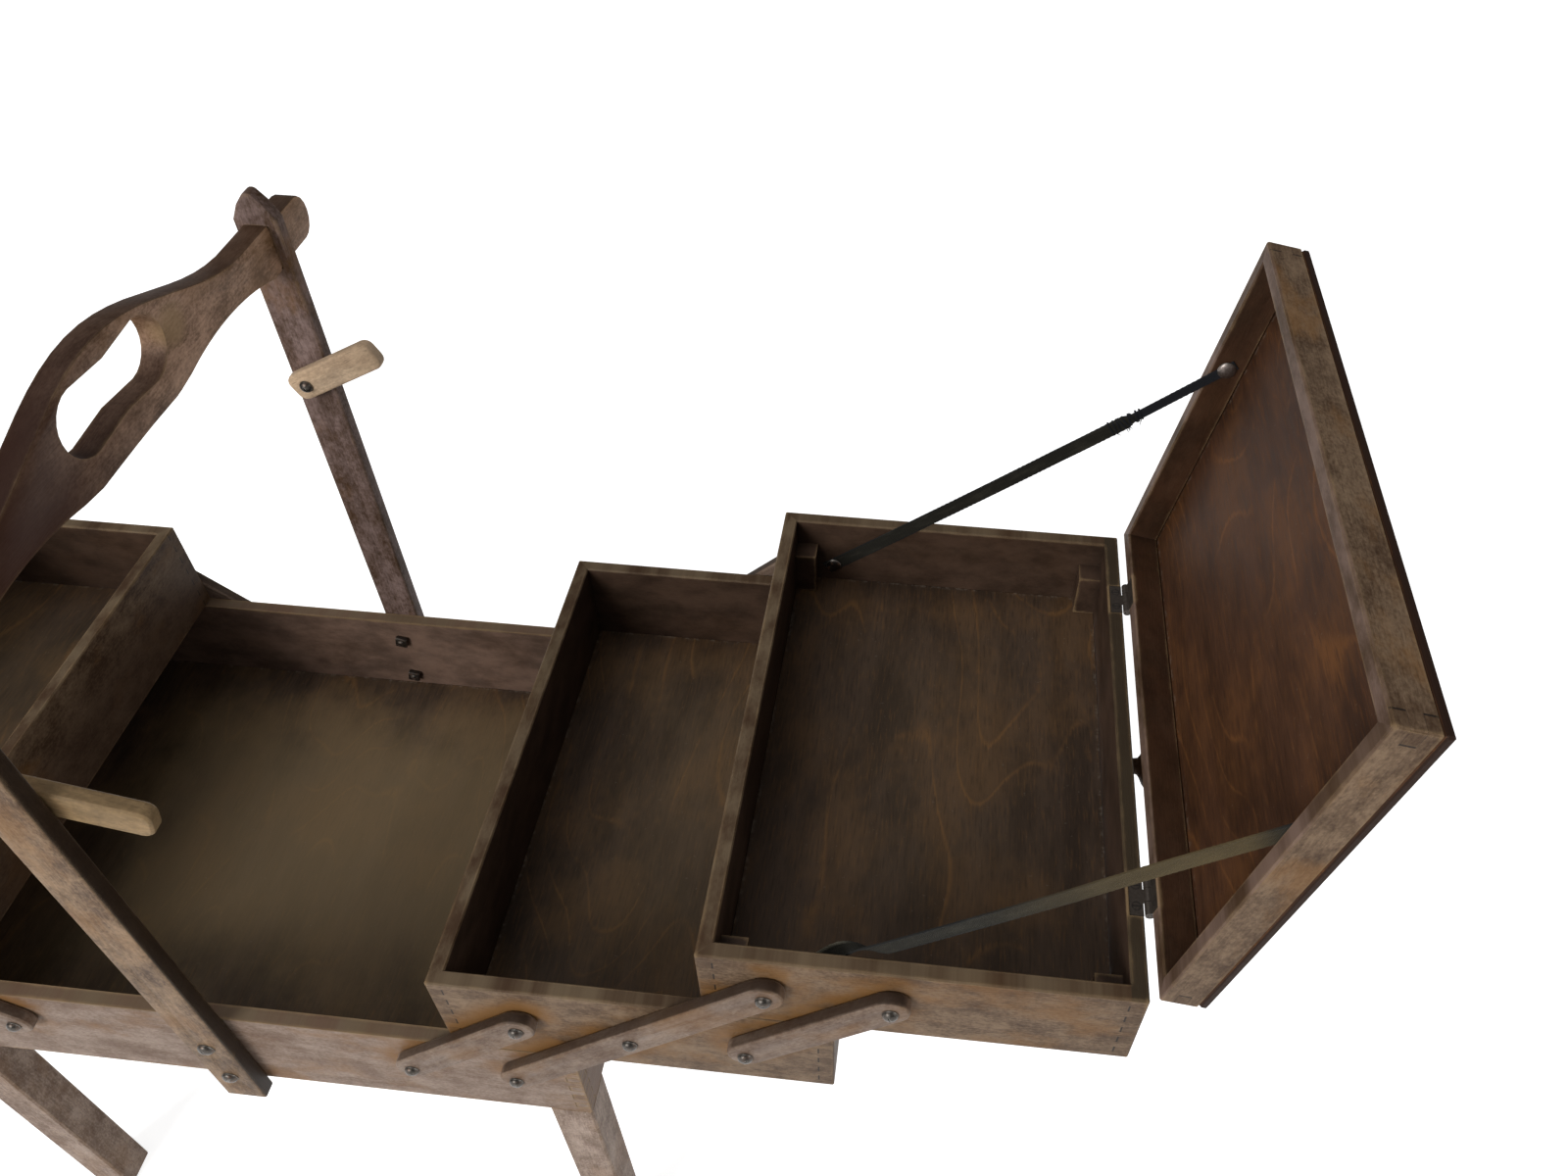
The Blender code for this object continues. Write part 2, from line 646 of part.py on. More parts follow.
def build_hinge(tag, side, word, y, origin_top, turn):
    """Two leaves of one butt hinge, the tray leaf with the pin."""
    third = HINGE_L / 6
    half = HINGE_L / 2
    axis = (side * HINGE_X, 0.0, HINGE_Z)
    plate_in = side * (X_END - HINGE_LEAF)
    plate_out = side * X_END
    lower = HINGE_Z - GAP / 2 - HINGE_T
    bm = bmesh.new()
    add_box(bm, (plate_in, y - half, lower), (plate_out, y + half, lower + HINGE_T))
    name = "%s_hinge_%s_tray" % (tag, word)
    leaf = finish(name, bm, metal("iron_" + name), origin_top)
    roll = bmesh.new()
    add_prism(roll, leaf_outline(side, -1.0), "Y", y - third, y + third)
    combine(leaf, finish("roll_" + name, roll, None, cutter=True), "UNION")
    pin = bmesh.new()
    low = (side * HINGE_X, y - half, HINGE_Z)
    high = (side * HINGE_X, y + half, HINGE_Z)
    add_rod(pin, PIN_R, Vector((0.0, 1.0, 0.0)), low, high, SCREW_SIDES)
    combine(leaf, finish("pin_" + name, pin, None, cutter=True), "UNION")

    upper = HINGE_Z + GAP / 2
    bm = bmesh.new()
    x0, x1 = sorted((plate_in, plate_out))
    outline = [(x0, y - half), (x1, y - half), (x1, y + half), (x0, y + half)]
    add_plate(bm, outline, "Z", upper, upper + HINGE_T)
    name = "%s_hinge_%s_lid" % (tag, word)
    leaf = finish(name, bm, metal("iron_" + name), axis, turn)
    roll = bmesh.new()
    add_plate(roll, leaf_outline(side, 1.0), "Y", y - half, y - third - GAP)
    add_plate(roll, leaf_outline(side, 1.0), "Y", y + third + GAP, y + half)
    combine(leaf, finish("roll_" + name, roll, None, axis, turn, cutter=True), "UNION")
    bore = bmesh.new()
    low = (side * HINGE_X, y - HINGE_L, HINGE_Z)
    high = (side * HINGE_X, y + HINGE_L, HINGE_Z)
    add_rod(bore, PIN_R + GAP, Vector((0.0, 1.0, 0.0)), low, high, SCREW_SIDES)
    combine(leaf, finish("bore_" + name, bore, None, axis, turn, cutter=True), "DIFFERENCE")


def build_lid(tag, side, origin_top):
    """Lid frame and panel with their hinges; built shut and turned open."""
    axis = (side * HINGE_X, 0.0, HINGE_Z)
    turn = side * LID_OPEN
    bm = bmesh.new()
    add_ring(bm, side * X_TOP, side * X_END, H, Z_LID, Z_LID + LID_FRAME_H - GAP, WALL)
    frame = finish("%s_lid_frame" % tag, bm, wood("stain_%s_lid_frame" % tag, 1.0), axis, turn, soft=RIM_ROUND)
    cut = bmesh.new()
    half = HINGE_L / 2 + GAP
    for y in (-HINGE_Y, HINGE_Y):
        corner = (side * (X_END - HINGE_LEAF - GAP), y - half, Z_LID - CUT_OVER)
        add_box(cut, corner, (side * (X_END + CUT_OVER), y + half, Z_LID + HINGE_T + GAP))
    rebates = finish("%s_lid_rebates" % tag, cut, None, axis, turn, cutter=True)
    combine(frame, rebates, "DIFFERENCE")
    bm = bmesh.new()
    add_box(bm, (side * X_TOP, -H, Z_LID + LID_FRAME_H), (side * X_END, H, Z_LID_TOP))
    finish("%s_lid_panel" % tag, bm, wood("stain_%s_lid_panel" % tag, 1.2), axis, turn, soft=BOARD_ROUND)
    for word, y in (("front", -HINGE_Y), ("back", HINGE_Y)):
        build_hinge(tag, side, word, y, origin_top, turn)


def build_tapes(tag, side):
    """Two stay tapes of one side, straight from the tray's tack to the open lid's tack."""
    t = math.radians(LID_OPEN)
    a = HINGE_X - X_END + TAPE_LID_A
    b = TAPE_LID_B + GAP / 2
    end = Vector((HINGE_X - a * math.cos(t) + b * math.sin(t), HINGE_Z + a * math.sin(t) + b * math.cos(t)))
    start = Vector((X_TOP + TAPE_TRAY_X, Z_TOP + TAPE_TRAY_Z))
    along = (end - start).normalized()
    across = Vector((-along.y, along.x)) * (TAPE_W / 2)
    lap = along * (TAPE_W * 0.6)
    corners = [start - lap - across, end + lap - across, end + lap + across, start - lap + across]
    outline = [(side * c.x, c.y) for c in corners]
    face = H - WALL - GAP
    for word, front in (("front", -1.0), ("back", 1.0)):
        y0, y1 = sorted((front * face, front * (face - TAPE_T)))
        bm = bmesh.new()
        add_prism(bm, outline, "Y", y0, y1)
        name = "%s_tape_%s" % (tag, word)
        mat = material("woven_" + name, (0.03, 0.028, 0.026), 0.9)
        finish(name, bm, mat, (side * HINGE_X, 0.0, HINGE_Z))


def main():
    """Build every piece."""
    start()
    build_base()
    build_posts()
    for tag, side in (("right", 1.0), ("left", -1.0)):
        top_pivot = (side * (LONG_X + 2 * STEP_X), 0.0, Z_PIVOT + 2 * STEP_Z)
        build_arms(tag, side)
        build_mid_tray(tag, side)
        build_top_tray(tag, side, top_pivot)
        build_knob(tag, side, top_pivot)
        build_lid(tag, side, top_pivot)
        build_tapes(tag, side)


main()
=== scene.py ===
"""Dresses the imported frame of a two-sided cantilever sewing box: worn stain, ply, iron and stay tapes."""
import json
import math

import bpy
import numpy as np
from mathutils import Matrix, Vector

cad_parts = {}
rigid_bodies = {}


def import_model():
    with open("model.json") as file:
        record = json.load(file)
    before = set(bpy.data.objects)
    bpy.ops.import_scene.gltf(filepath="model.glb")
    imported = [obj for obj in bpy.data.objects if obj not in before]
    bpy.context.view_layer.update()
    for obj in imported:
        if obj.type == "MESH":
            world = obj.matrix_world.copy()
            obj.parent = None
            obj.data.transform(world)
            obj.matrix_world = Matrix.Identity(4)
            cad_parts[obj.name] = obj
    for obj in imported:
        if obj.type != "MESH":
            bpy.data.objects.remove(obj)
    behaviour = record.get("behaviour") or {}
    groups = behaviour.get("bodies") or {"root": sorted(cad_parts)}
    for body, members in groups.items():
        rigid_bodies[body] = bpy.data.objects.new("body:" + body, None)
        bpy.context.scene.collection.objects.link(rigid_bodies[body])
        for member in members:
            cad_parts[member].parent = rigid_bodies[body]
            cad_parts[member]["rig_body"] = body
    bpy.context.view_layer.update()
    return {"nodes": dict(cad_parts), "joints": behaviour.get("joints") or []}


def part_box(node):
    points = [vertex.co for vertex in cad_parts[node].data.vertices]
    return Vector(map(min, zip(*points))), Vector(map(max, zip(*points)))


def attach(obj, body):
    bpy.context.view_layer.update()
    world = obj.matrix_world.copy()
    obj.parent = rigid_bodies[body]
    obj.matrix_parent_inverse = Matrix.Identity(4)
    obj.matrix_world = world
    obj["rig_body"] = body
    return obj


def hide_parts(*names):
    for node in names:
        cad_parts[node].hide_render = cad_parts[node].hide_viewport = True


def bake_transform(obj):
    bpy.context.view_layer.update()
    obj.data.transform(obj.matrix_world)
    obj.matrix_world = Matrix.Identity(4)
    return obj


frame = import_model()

bl_info = {
    "name": "Cantilever Sewing Box",
    "version": (1, 0, 0),
    "blender": (4, 5, 0),
    "location": "View3D > Sidebar > Sewing Box",
    "description": "Finishes and small fittings for a two-sided cantilever sewing box",
    "category": "Object",
}

JOINT = {j["name"]: j for j in frame["joints"]}
SIDES = (("right", 1.0), ("left", -1.0))
ENDS = (("front", -1.0), ("back", 1.0))

# Levels and faces of the frame that the pieces sit on
HALF_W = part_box("base_right_wall")[1].x
HALF_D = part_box("base_right_wall")[1].y
BASE_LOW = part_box("base_right_wall")[0].z
BASE_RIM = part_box("base_right_wall")[1].z
ARM_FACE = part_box("right_long_arm_back")[1].y
WALL = HALF_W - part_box("base_right_wall")[0].x
TILT = math.radians(100.0)
LID_GAP = 0.00015
LID_DEEP = 0.0177

# Plain dark and bright tones in the finishes
PORES = (0.020, 0.012, 0.008)
# painted shade for the inner corners
CORNER_SHADE = (0.014, 0.010, 0.008)
SEAM = (0.012, 0.009, 0.007)
DUST = (0.250, 0.210, 0.170)
STUD = (0.070, 0.062, 0.055)
BRIGHT = (0.330, 0.310, 0.280)
GRIME = (0.045, 0.031, 0.021)
SLOT = (0.010, 0.009, 0.008)

# Small fittings
RUN_GAP = 0.0004  # under the heads, so that what they hold can turn
BOLT_HEAD = 0.0024  # height of a bolt's head
BOLT_PAST = 0.0050  # bolt beyond the inner face of the wall
NUT = (0.0082, 0.0082, 0.0036)
LEAF_SCREW_X = 0.0059  # hinge screws from the pin
LEAF_SCREW_Y = 0.0055  # and from the middle of the leaf

# Stay tapes
TAPE_RUN = 180  # faces along
TAPE_ROWS = 6  # faces across
TAPE_SAG = 0.0020
TAPE_GAP = 0.0003  # to the wall
TAPE_LAP = 0.6  # past a tack, in widths
MEND_AT = 0.775  # where the mended tape narrows, as a share of its run
BLACK_AT = 0.79  # and where it turns black


def toned(colour, share):
    """A colour made darker or lighter."""
    return [c * share for c in colour]


def pivot(name):
    """Where a joint's axis meets the plane of the arms, as x and z."""
    pos = JOINT[name]["pos_m"]
    return Vector((pos[0], pos[2]))


def arm_lines(side):
    """Both pivots of the long, lower and upper arm of one side."""
    step = pivot(side + "_mid_pivot") - pivot(side + "_fold")
    short = pivot(side + "_lower_arm_pivot")
    upper = pivot(side + "_upper_arm_pivot")
    return ((pivot(side + "_fold"), pivot(side + "_top_pivot")), (short, short + step), (upper, upper + step))


# Settings in the sidebar


def number_prop(name, text, value, **more):
    """A plain number in the sidebar."""
    return bpy.props.FloatProperty(name=name, description=text, default=value, **more)


def vector_prop(name, text, value, **more):
    """A place, direction or pair of numbers in the sidebar."""
    return bpy.props.FloatVectorProperty(name=name, description=text, default=value, size=len(value), **more)


def colour_prop(name, text, value):
    """A colour in the sidebar."""
    return vector_prop(name, text, value, subtype="COLOR", min=0.0, max=1.0)


def length_prop(name, text, value):
    """A length in the sidebar."""
    return number_prop(name, text, value, min=0.0, unit="LENGTH", subtype="DISTANCE")


class WoodSettings(bpy.types.PropertyGroup):
    """Colours of the stained wood and the plywood."""
    base_pale: colour_prop("Base, faded", "Greyed tone of the handled base and legs", (0.300, 0.228, 0.182))
    base_dark: colour_prop("Base, stained", "Deeper tone of the base and legs", (0.120, 0.070, 0.044))
    tray_pale: colour_prop("Trays, faded", "Rubbed tone of the tray fronts", (0.214, 0.144, 0.089))
    tray_dark: colour_prop("Trays, stained", "Deeper tone of the trays, posts and lids", (0.052, 0.027, 0.0135))
    arm_pale: colour_prop("Arms, faded", "Greyed faces of the arms", (0.250, 0.187, 0.144))
    arm_dark: colour_prop("Arms, stained", "Deeper tone of the arms", (0.100, 0.060, 0.040))
    warm: colour_prop("Warm patches", "Orange-brown patches in the stain", (0.185, 0.088, 0.026))
    worn: colour_prop("Worn edge", "Bare wood on rubbed edges", (0.340, 0.225, 0.115))
    rim: colour_prop("Tray rims", "Olive brown of the handled rims", (0.136, 0.097, 0.058))
    lid_rim: colour_prop("Lid rims", "Pale mauve brown of the lid rims", (0.165, 0.108, 0.084))
    inside: colour_prop("Inside stain", "Deep brown of the sheltered inner faces", (0.050, 0.029, 0.0195))
    base_inside: colour_prop("Base inside", "Inner faces of the base", (0.122, 0.076, 0.055))
    ply_dark: colour_prop("Dark ply", "Ground tone of the tray floors", (0.047, 0.030, 0.0200))
    ply_light: colour_prop("Ply figure", "Lighter lines of the rotary figure", (0.160, 0.078, 0.028))
    ply_rubbed: colour_prop("Rubbed ply", "Olive tan of the rubbed base floor", (0.185, 0.132, 0.070))
    lid_dark: colour_prop("Lid ply", "Reddish ground tone of the lid panels", (0.047, 0.0205, 0.0105))
    lid_light: colour_prop("Lid figure", "Lighter lines in the lid panels", (0.165, 0.066, 0.021))
    grip: colour_prop("Polished grip", "Dark red of the polished handle", (0.038, 0.0120, 0.0060))
    handle: colour_prop("Handle, rubbed", "Rubbed tone of the handle board", (0.520, 0.330, 0.225))
    post_front: colour_prop("Front post", "Rubbed tone of the front post", (0.285, 0.188, 0.112))
    post_back: colour_prop("Back post", "Rubbed tone of the back post", (0.235, 0.165, 0.148))
    button_front: colour_prop("Front button", "Rubbed wood of the front turn button", (0.310, 0.206, 0.104))
    button_back: colour_prop("Back button", "Paler wood of the back turn button", (0.740, 0.545, 0.370))


class IronSettings(bpy.types.PropertyGroup):
    """Sizes and colours of the screws, bolts, hinges and tacks."""
    iron: colour_prop("Iron", "Blackened iron of screws and hinges", (0.090, 0.080, 0.070))
    rust: colour_prop("Rust", "Rust on the iron", (0.110, 0.048, 0.020))
    tack: colour_prop("Tack", "Dull pale metal of the tape tacks", (0.360, 0.310, 0.280))
    head_r: length_prop("Screw head", "Radius of the round pivot screw heads", 0.0039)
    head_h: length_prop("Head height", "Height of the round screw heads", 0.0030)
    bolt_r: length_prop("Bolt head", "Radius of the post bolts' heads", 0.0046)
    tack_r: length_prop("Tack head", "Radius of the tape tacks", 0.0049)
    tack_h: length_prop("Tack height", "Height of the tape tacks", 0.0016)


class TapeSettings(bpy.types.PropertyGroup):
    """Sizes and colours of the stay tapes."""
    ground: colour_prop("Tape", "Dusty dark ground of the woven tape", (0.0225, 0.0205, 0.0150))
    thread: colour_prop("Thread", "Black mending thread and tape", (0.012, 0.013, 0.016))
    faded: colour_prop("Faded", "Faded half of the near tapes", (0.110, 0.079, 0.035))
    width: length_prop("Width", "Width of a tape", 0.0088)
    thick: length_prop("Thickness", "Thickness of a tape", 0.0008)
    tray_in: length_prop("Tray tack along", "Tray tack from the inner end of the tray", 0.031)
    tray_up: length_prop("Tray tack height", "Tray tack above the underside of the tray", 0.0235)
    lid_in: length_prop("Lid tack along", "Lid tack from the hinged end", 0.134)
    lid_up: length_prop("Lid tack depth", "Lid tack above the rim of the lid", 0.008)


class StageSettings(bpy.types.PropertyGroup):
    """Floor, lamps and camera."""
    floor: colour_prop("Floor", "Pale studio floor", (0.860, 0.860, 0.860))
    lens: number_prop("Lens", "Focal length of the camera", 27.962, unit="CAMERA")
    eye: vector_prop("Camera", "Where the camera stands", (0.37333, -0.40554, 0.96672),
                     subtype="TRANSLATION", unit="LENGTH")
    view: vector_prop("View", "Direction of view", (-0.06603, 0.69257, -0.71832), subtype="DIRECTION")
    up: vector_prop("Up", "Upward direction of the picture", (-0.08149, 0.71375, 0.69565), subtype="DIRECTION")
    shift: vector_prop("Shift", "Sideways and upward shift of the picture, in picture widths", (-0.04061, 0.00023))
    key: number_prop("Key lamp", "Power of the large lamp at the front left", 66.0, unit="POWER")
    room: number_prop("Room light", "Strength of the even light from the room", 0.22)
    white: number_prop("Backdrop", "How bright the floor shows to the camera beyond its own light", 0.80)


class BoxSettings(bpy.types.PropertyGroup):
    """All settings of the sewing box."""
    wood: bpy.props.PointerProperty(type=WoodSettings)
    iron: bpy.props.PointerProperty(type=IronSettings)
    tape: bpy.props.PointerProperty(type=TapeSettings)
    stage: bpy.props.PointerProperty(type=StageSettings)


# Finishes


class Finish:
    """Builds the nodes of one material from the piece's own coordinates."""

    def __init__(self, name, rough=0.6, metal=0.0):
        self.mat = bpy.data.materials.new(name)
        self.mat.use_nodes = True
        self.tree = self.mat.node_tree
        self.tree.nodes.clear()
        out = self.add("OutputMaterial")
        self.skin = self.add("BsdfPrincipled")
        self.put(out.inputs[0], self.skin.outputs[0])
        self.set("Roughness", rough)
        self.set("Metallic", metal)
        self.set("Specular IOR Level", 0.5 if metal > 0.0 else 0.12)
        coord = self.add("TexCoord")
        self.place = coord.outputs["Object"]
        self.map = coord.outputs["UV"]
        self.side = coord.outputs["Normal"]

    def put(self, socket, value):
        """Link a socket, or set a plain value."""
        if isinstance(value, bpy.types.NodeSocket):
            self.tree.links.new(value, socket)
        elif hasattr(socket.default_value, "__len__") and len(socket.default_value) == 4 and len(value) == 3:
            socket.default_value = (value[0], value[1], value[2], 1.0)
        else:
            socket.default_value = value

    def set(self, name, value):
        """Give one input of the skin a value or a texture."""
        self.put(self.skin.inputs[name], value)

    def add(self, kind, inputs=(), **settings):
        """A new node with its settings and inputs."""
        node = self.tree.nodes.new("ShaderNode" + kind)
        for key, value in settings.items():
            setattr(node, key, value)
        for key, value in dict(inputs).items():
            self.put(node.inputs[key], value)
        return node

    def math(self, kind, a, b=0.0, c=0.0, clamp=False):
        """One arithmetic step."""
        return self.add("Math", enumerate((a, b, c)), operation=kind, use_clamp=clamp).outputs[0]

    def times(self, a, b):
        """Product of two numbers."""
        return self.math("MULTIPLY", a, b)

    def plus(self, a, b, c):
        """Product of two numbers added to a third."""
        return self.math("MULTIPLY_ADD", a, b, c)

    def less(self, a, b):
        """Difference of two numbers."""
        return self.math("SUBTRACT", a, b)

    def below(self, a, b):
        """One where a is under b, else nothing."""
        return self.math("LESS_THAN", a, b)

    def magnitude(self, a):
        """A number without its sign."""
        return self.math("ABSOLUTE", a)

    def step(self, value, low, high):
        """Smooth rise from 0 at low to 1 at high."""
        inputs = {"Value": value, "From Min": low, "From Max": high}
        return self.add("MapRange", inputs, interpolation_type="SMOOTHSTEP").outputs[0]

    def mix(self, share, a, b):
        """Blend two colours."""
        return self.add("Mix", {0: share, 6: a, 7: b}, data_type="RGBA").outputs[2]

    def over(self, tone, colour, mask, amount=1.0):
        """Lay a colour over a tone where a mask is set."""
        return self.mix(mask if amount == 1.0 else self.times(mask, amount), tone, colour)

    def local(self, origin, turn, source=None):
        """Coordinates seen from a place and a turn of the piece."""
        inputs = {"Location": origin, "Rotation": turn, "Vector": source or self.place}
        return self.add("Mapping", inputs, vector_type="TEXTURE").outputs[0]

    def vec(self, kind, a, b):
        """One vector step."""
        node = self.add("VectorMath", enumerate((a, b)), operation=kind)
        return node.outputs["Value" if kind in ("LENGTH", "DISTANCE", "DOT_PRODUCT") else "Vector"]

    def split(self, vector):
        """The three numbers of a vector."""
        return tuple(self.add("SeparateXYZ", {0: vector}).outputs)

    def join(self, x, y, z):
        """A vector from three numbers."""
        return self.add("CombineXYZ", enumerate((x, y, z))).outputs[0]

    def noise(self, vector, scale, detail=2.0, rough=0.5):
        """Noise whose scale differs along the three directions, in cells per metre."""
        inputs = {"Vector": self.vec("MULTIPLY", vector, scale), "Scale": 1.0, "Detail": detail, "Roughness": rough}
        return self.add("TexNoise", inputs).outputs["Fac"]

    def edges(self, reach, inside=True):
        """How near a surface point lies to an outer edge, or to an inner corner."""
        node = self.add("AmbientOcclusion", {"Distance": reach}, inside=inside, only_local=True, samples=6)
        return self.less(1.0, node.outputs["AO"])

    def bump(self, height, depth, strength=0.5):
        """Surface relief in metres."""
        inputs = {"Height": height, "Distance": depth, "Strength": strength}
        self.set("Normal", self.add("Bump", inputs).outputs[0])


def grained(fin, grain, seed, dark, pale, warm, warmth=0.55):
    """Mottled stain over fine fibres that run along the first direction."""
    v = fin.vec("ADD", grain, (seed * 1.37, seed * 0.61, seed * 0.83))
    broad = fin.noise(v, (7.0, 75.0, 75.0), 3.0, 0.55)
    fine = fin.noise(v, (70.0, 900.0, 900.0), 3.0, 0.6)
    mottle = fin.noise(v, (40.0, 58.0, 58.0), 7.0, 0.74)
    patch = fin.noise(fin.vec("ADD", v, (3.1, 7.7, 1.9)), (15.0, 26.0, 26.0), 5.0, 0.62)
    specks = fin.noise(v, (480.0, 760.0, 760.0), 2.0, 0.6)
    pores = fin.noise(v, (120.0, 1700.0, 1700.0), 1.0, 0.5)
    shade = fin.plus(mottle, 0.52, fin.times(broad, 0.16))
    shade = fin.plus(fine, 0.14, shade)
    shade = fin.plus(specks, 0.20, shade)
    tone = fin.mix(fin.step(shade, 0.38, 0.66), dark, pale)
    tone = fin.over(tone, warm, fin.step(patch, 0.50, 0.66), warmth)
    tone = fin.over(tone, toned(dark, 0.75), fin.step(patch, 0.46, 0.32), 0.28)
    tone = fin.over(tone, PORES, fin.step(pores, 0.60, 0.76), 0.35)
    height = fin.plus(fine, 0.6, fin.times(pores, -0.5))
    return v, tone, height


def near_arms(fin, arms):
    """Distance from the middle lines of the arms, each given by its two pivots as x and z."""
    x, _, z = fin.split(fin.place)
    flat = fin.join(x, 0.0, z)
    nearest = 1.0
    for foot, tip in arms:
        run = (tip - foot).normalized()
        along = (run.x, 0.0, run.y)
        arm = fin.vec("SUBTRACT", flat, (foot.x, 0.0, foot.y))
        reach = fin.math("MAXIMUM", fin.vec("DOT_PRODUCT", arm, along), 0.0)
        reach = fin.math("MINIMUM", reach, (tip - foot).length)
        gap = fin.vec("DISTANCE", arm, fin.vec("MULTIPLY", along, reach))
        nearest = fin.math("MINIMUM", gap, nearest)
    return nearest


def wear_and_corner_shade(fin, v, tone, worn, strength):
    """Rub the outer edges bare and paint shade into the inner corners."""
    chips = fin.noise(v, (55.0, 120.0, 120.0), 4.0, 0.65)
    rub = fin.plus(fin.less(chips, 0.5), 0.75, fin.edges(0.0026))
    rub = fin.times(fin.step(rub, 0.20, 0.52), strength)
    tone = fin.over(tone, worn, rub)
    # painted shade: darker in the inner corners, found by occlusion
    corner_shade = fin.step(fin.edges(0.012, inside=False), 0.22, 0.75)
    tone = fin.over(tone, CORNER_SHADE, corner_shade, 0.55)
    return rub, tone


def from_walls(fin, x, y, half):
    """Distances from the end walls and from the front and back walls."""
    return fin.less(half[0], fin.magnitude(x)), fin.less(half[1], fin.magnitude(y))


def wall_finish(name, look, tones, inside, origin, half, height, rows, seed, arms=(), turn=(0.0, 0.0, 0.0),
                shift=(0.0, 0.0, 0.0), rim_up=True, rim=None):
    """Comb-jointed tray walls: faded outside, warm beside the arms, dark inside, worn on the rim."""
    fin = Finish(name)
    spot = fin.vec("SUBTRACT", fin.local(origin, turn), shift)
    x, y, z = fin.split(spot)
    from_x, from_y = from_walls(fin, x, y, half)
    end_wall = fin.below(from_x, from_y)
    near = fin.math("MINIMUM", from_x, from_y)
    along = fin.math("MAXIMUM", from_x, from_y)
    along_wall = fin.math("ADD", fin.times(x, fin.less(1.0, end_wall)), fin.times(y, end_wall))
    grain = fin.join(along_wall, fin.times(end_wall, x), z)
    v, tone, relief = grained(fin, grain, seed, tones[0], tones[1], look.warm)
    if arms:
        cloud = fin.noise(v, (26.0, 34.0, 34.0), 4.0, 0.6)
        kept = fin.times(fin.step(near_arms(fin, arms), 0.027, 0.011), fin.step(cloud, 0.36, 0.58))
        kept = fin.times(kept, fin.below(from_y, 0.001))
        tone = fin.over(tone, look.warm, kept, 0.85)
        # painted shade: the outer faces of the end walls are darker towards their foot
        shaded = fin.times(fin.below(from_x, 0.001), fin.step(z, height * 0.90, height * 0.40))
        tone = fin.over(tone, toned(inside, 1.25), shaded, 0.62)
    sheltered = fin.step(near, WALL * 0.55, WALL * 0.97)
    bare = fin.noise(v, (34.0, 60.0, 60.0), 5.0, 0.65)
    deep = fin.mix(fin.step(bare, 0.30, 0.70), toned(inside, 0.62), toned(inside, 1.38))
    tone = fin.over(tone, deep, sheltered, 0.93)
    from_rim = fin.less(height, z) if rim_up else z
    top = fin.times(fin.step(from_rim, 0.0014, 0.0003), 0.90)
    tone = fin.over(tone, fin.mix(fin.step(bare, 0.34, 0.66), tones[0], rim or look.rim), top)
    # painted shade on the rim of the outer end wall
    if rim_up and abs(origin[0]) > half[0] / 2:
        far = fin.times(x, math.copysign(1.0, origin[0]))
        hinged = fin.times(top, fin.math("GREATER_THAN", far, half[0] - WALL))
        tone = fin.over(tone, toned(look.rim, 0.30), hinged)

    row = fin.math("DIVIDE", z, height / rows)
    odd = fin.math("MODULO", fin.math("FLOOR", row), 2.0)
    through = fin.less(1.0, fin.math("COMPARE", odd, end_wall, 0.5))
    outer = fin.below(near, 0.0006)
    patch = fin.times(fin.times(through, fin.below(along, WALL)), outer)
    tone = fin.over(tone, tones[0], patch, 0.35)
    dash = fin.math("COMPARE", along, WALL, 0.00042)
    dash = fin.times(fin.times(dash, through), outer)
    lip = fin.math("COMPARE", fin.math("FRACT", row), 0.0, 0.045)
    lip = fin.times(fin.times(lip, fin.below(along, WALL)), outer)
    seam = fin.math("MAXIMUM", dash, fin.times(lip, 0.45))
    tone = fin.over(tone, SEAM, seam, 0.88)

    rub, tone = wear_and_corner_shade(fin, v, tone, look.worn, 0.5)
    stud = fin.below(from_y, -0.0002)
    tone = fin.over(tone, STUD, stud)
    fin.set("Base Color", tone)
    fin.set("Metallic", stud)
    rough = fin.plus(rub, 0.18, 0.56)
    fin.set("Roughness", fin.plus(sheltered, -0.08, rough))
    fin.bump(fin.less(relief, fin.times(seam, 1.5)), 0.0004)
    return fin.mat


def board_finish(name, look, tones, origin, turn, seed, warmth=0.5, wear=0.7, shade_axis=None, grip=None):
    """A single worn board; its grain runs along the first direction after the turn.

    The faces that look along the shade axis, either way, are darker: painted shade, as on sides away from the light.
    A grip is polished to its colour at the front end and on the upper edge, and rubbed bare at one place.
    """
    fin = Finish(name)
    grain = fin.local(origin, turn)
    v, tone, relief = grained(fin, grain, seed, tones[0], tones[1], look.warm, warmth)
    facing = fin.split(fin.local((0.0, 0.0, 0.0), turn, fin.side))[0]
    butt = fin.step(fin.magnitude(facing), 0.75, 0.95)
    tone = fin.over(tone, tones[0], butt, 0.45)
    if shade_axis is not None:
        # painted shade on the faces that look along the given axis
        side_shade = fin.step(fin.magnitude(fin.vec("DOT_PRODUCT", fin.side, shade_axis)), 0.45, 0.85)
        tone = fin.over(tone, toned(tones[0], 0.30), side_shade, 0.93)
    if grip is not None:
        colour, bare_spot = grip
        _, y, _ = fin.split(fin.place)
        upper = fin.step(fin.split(fin.side)[2], 0.25, 0.75)
        front = fin.step(fin.plus(fin.noise(v, (20.0, 30.0, 30.0), 4.0), 0.10, y), 0.085, -0.035)
        tone = fin.over(tone, colour, front, 0.96)
        tone = fin.over(tone, toned(colour, 0.45), upper, 0.80)
        bare = fin.step(fin.vec("DISTANCE", fin.place, bare_spot), 0.014, 0.005)
        tone = fin.over(tone, look.worn, bare, 0.60)
    rub, tone = wear_and_corner_shade(fin, v, tone, look.worn, wear)
    fin.set("Base Color", tone)
    fin.set("Roughness", fin.plus(rub, 0.18, 0.55))
    fin.bump(relief, 0.0004)
    return fin.mat


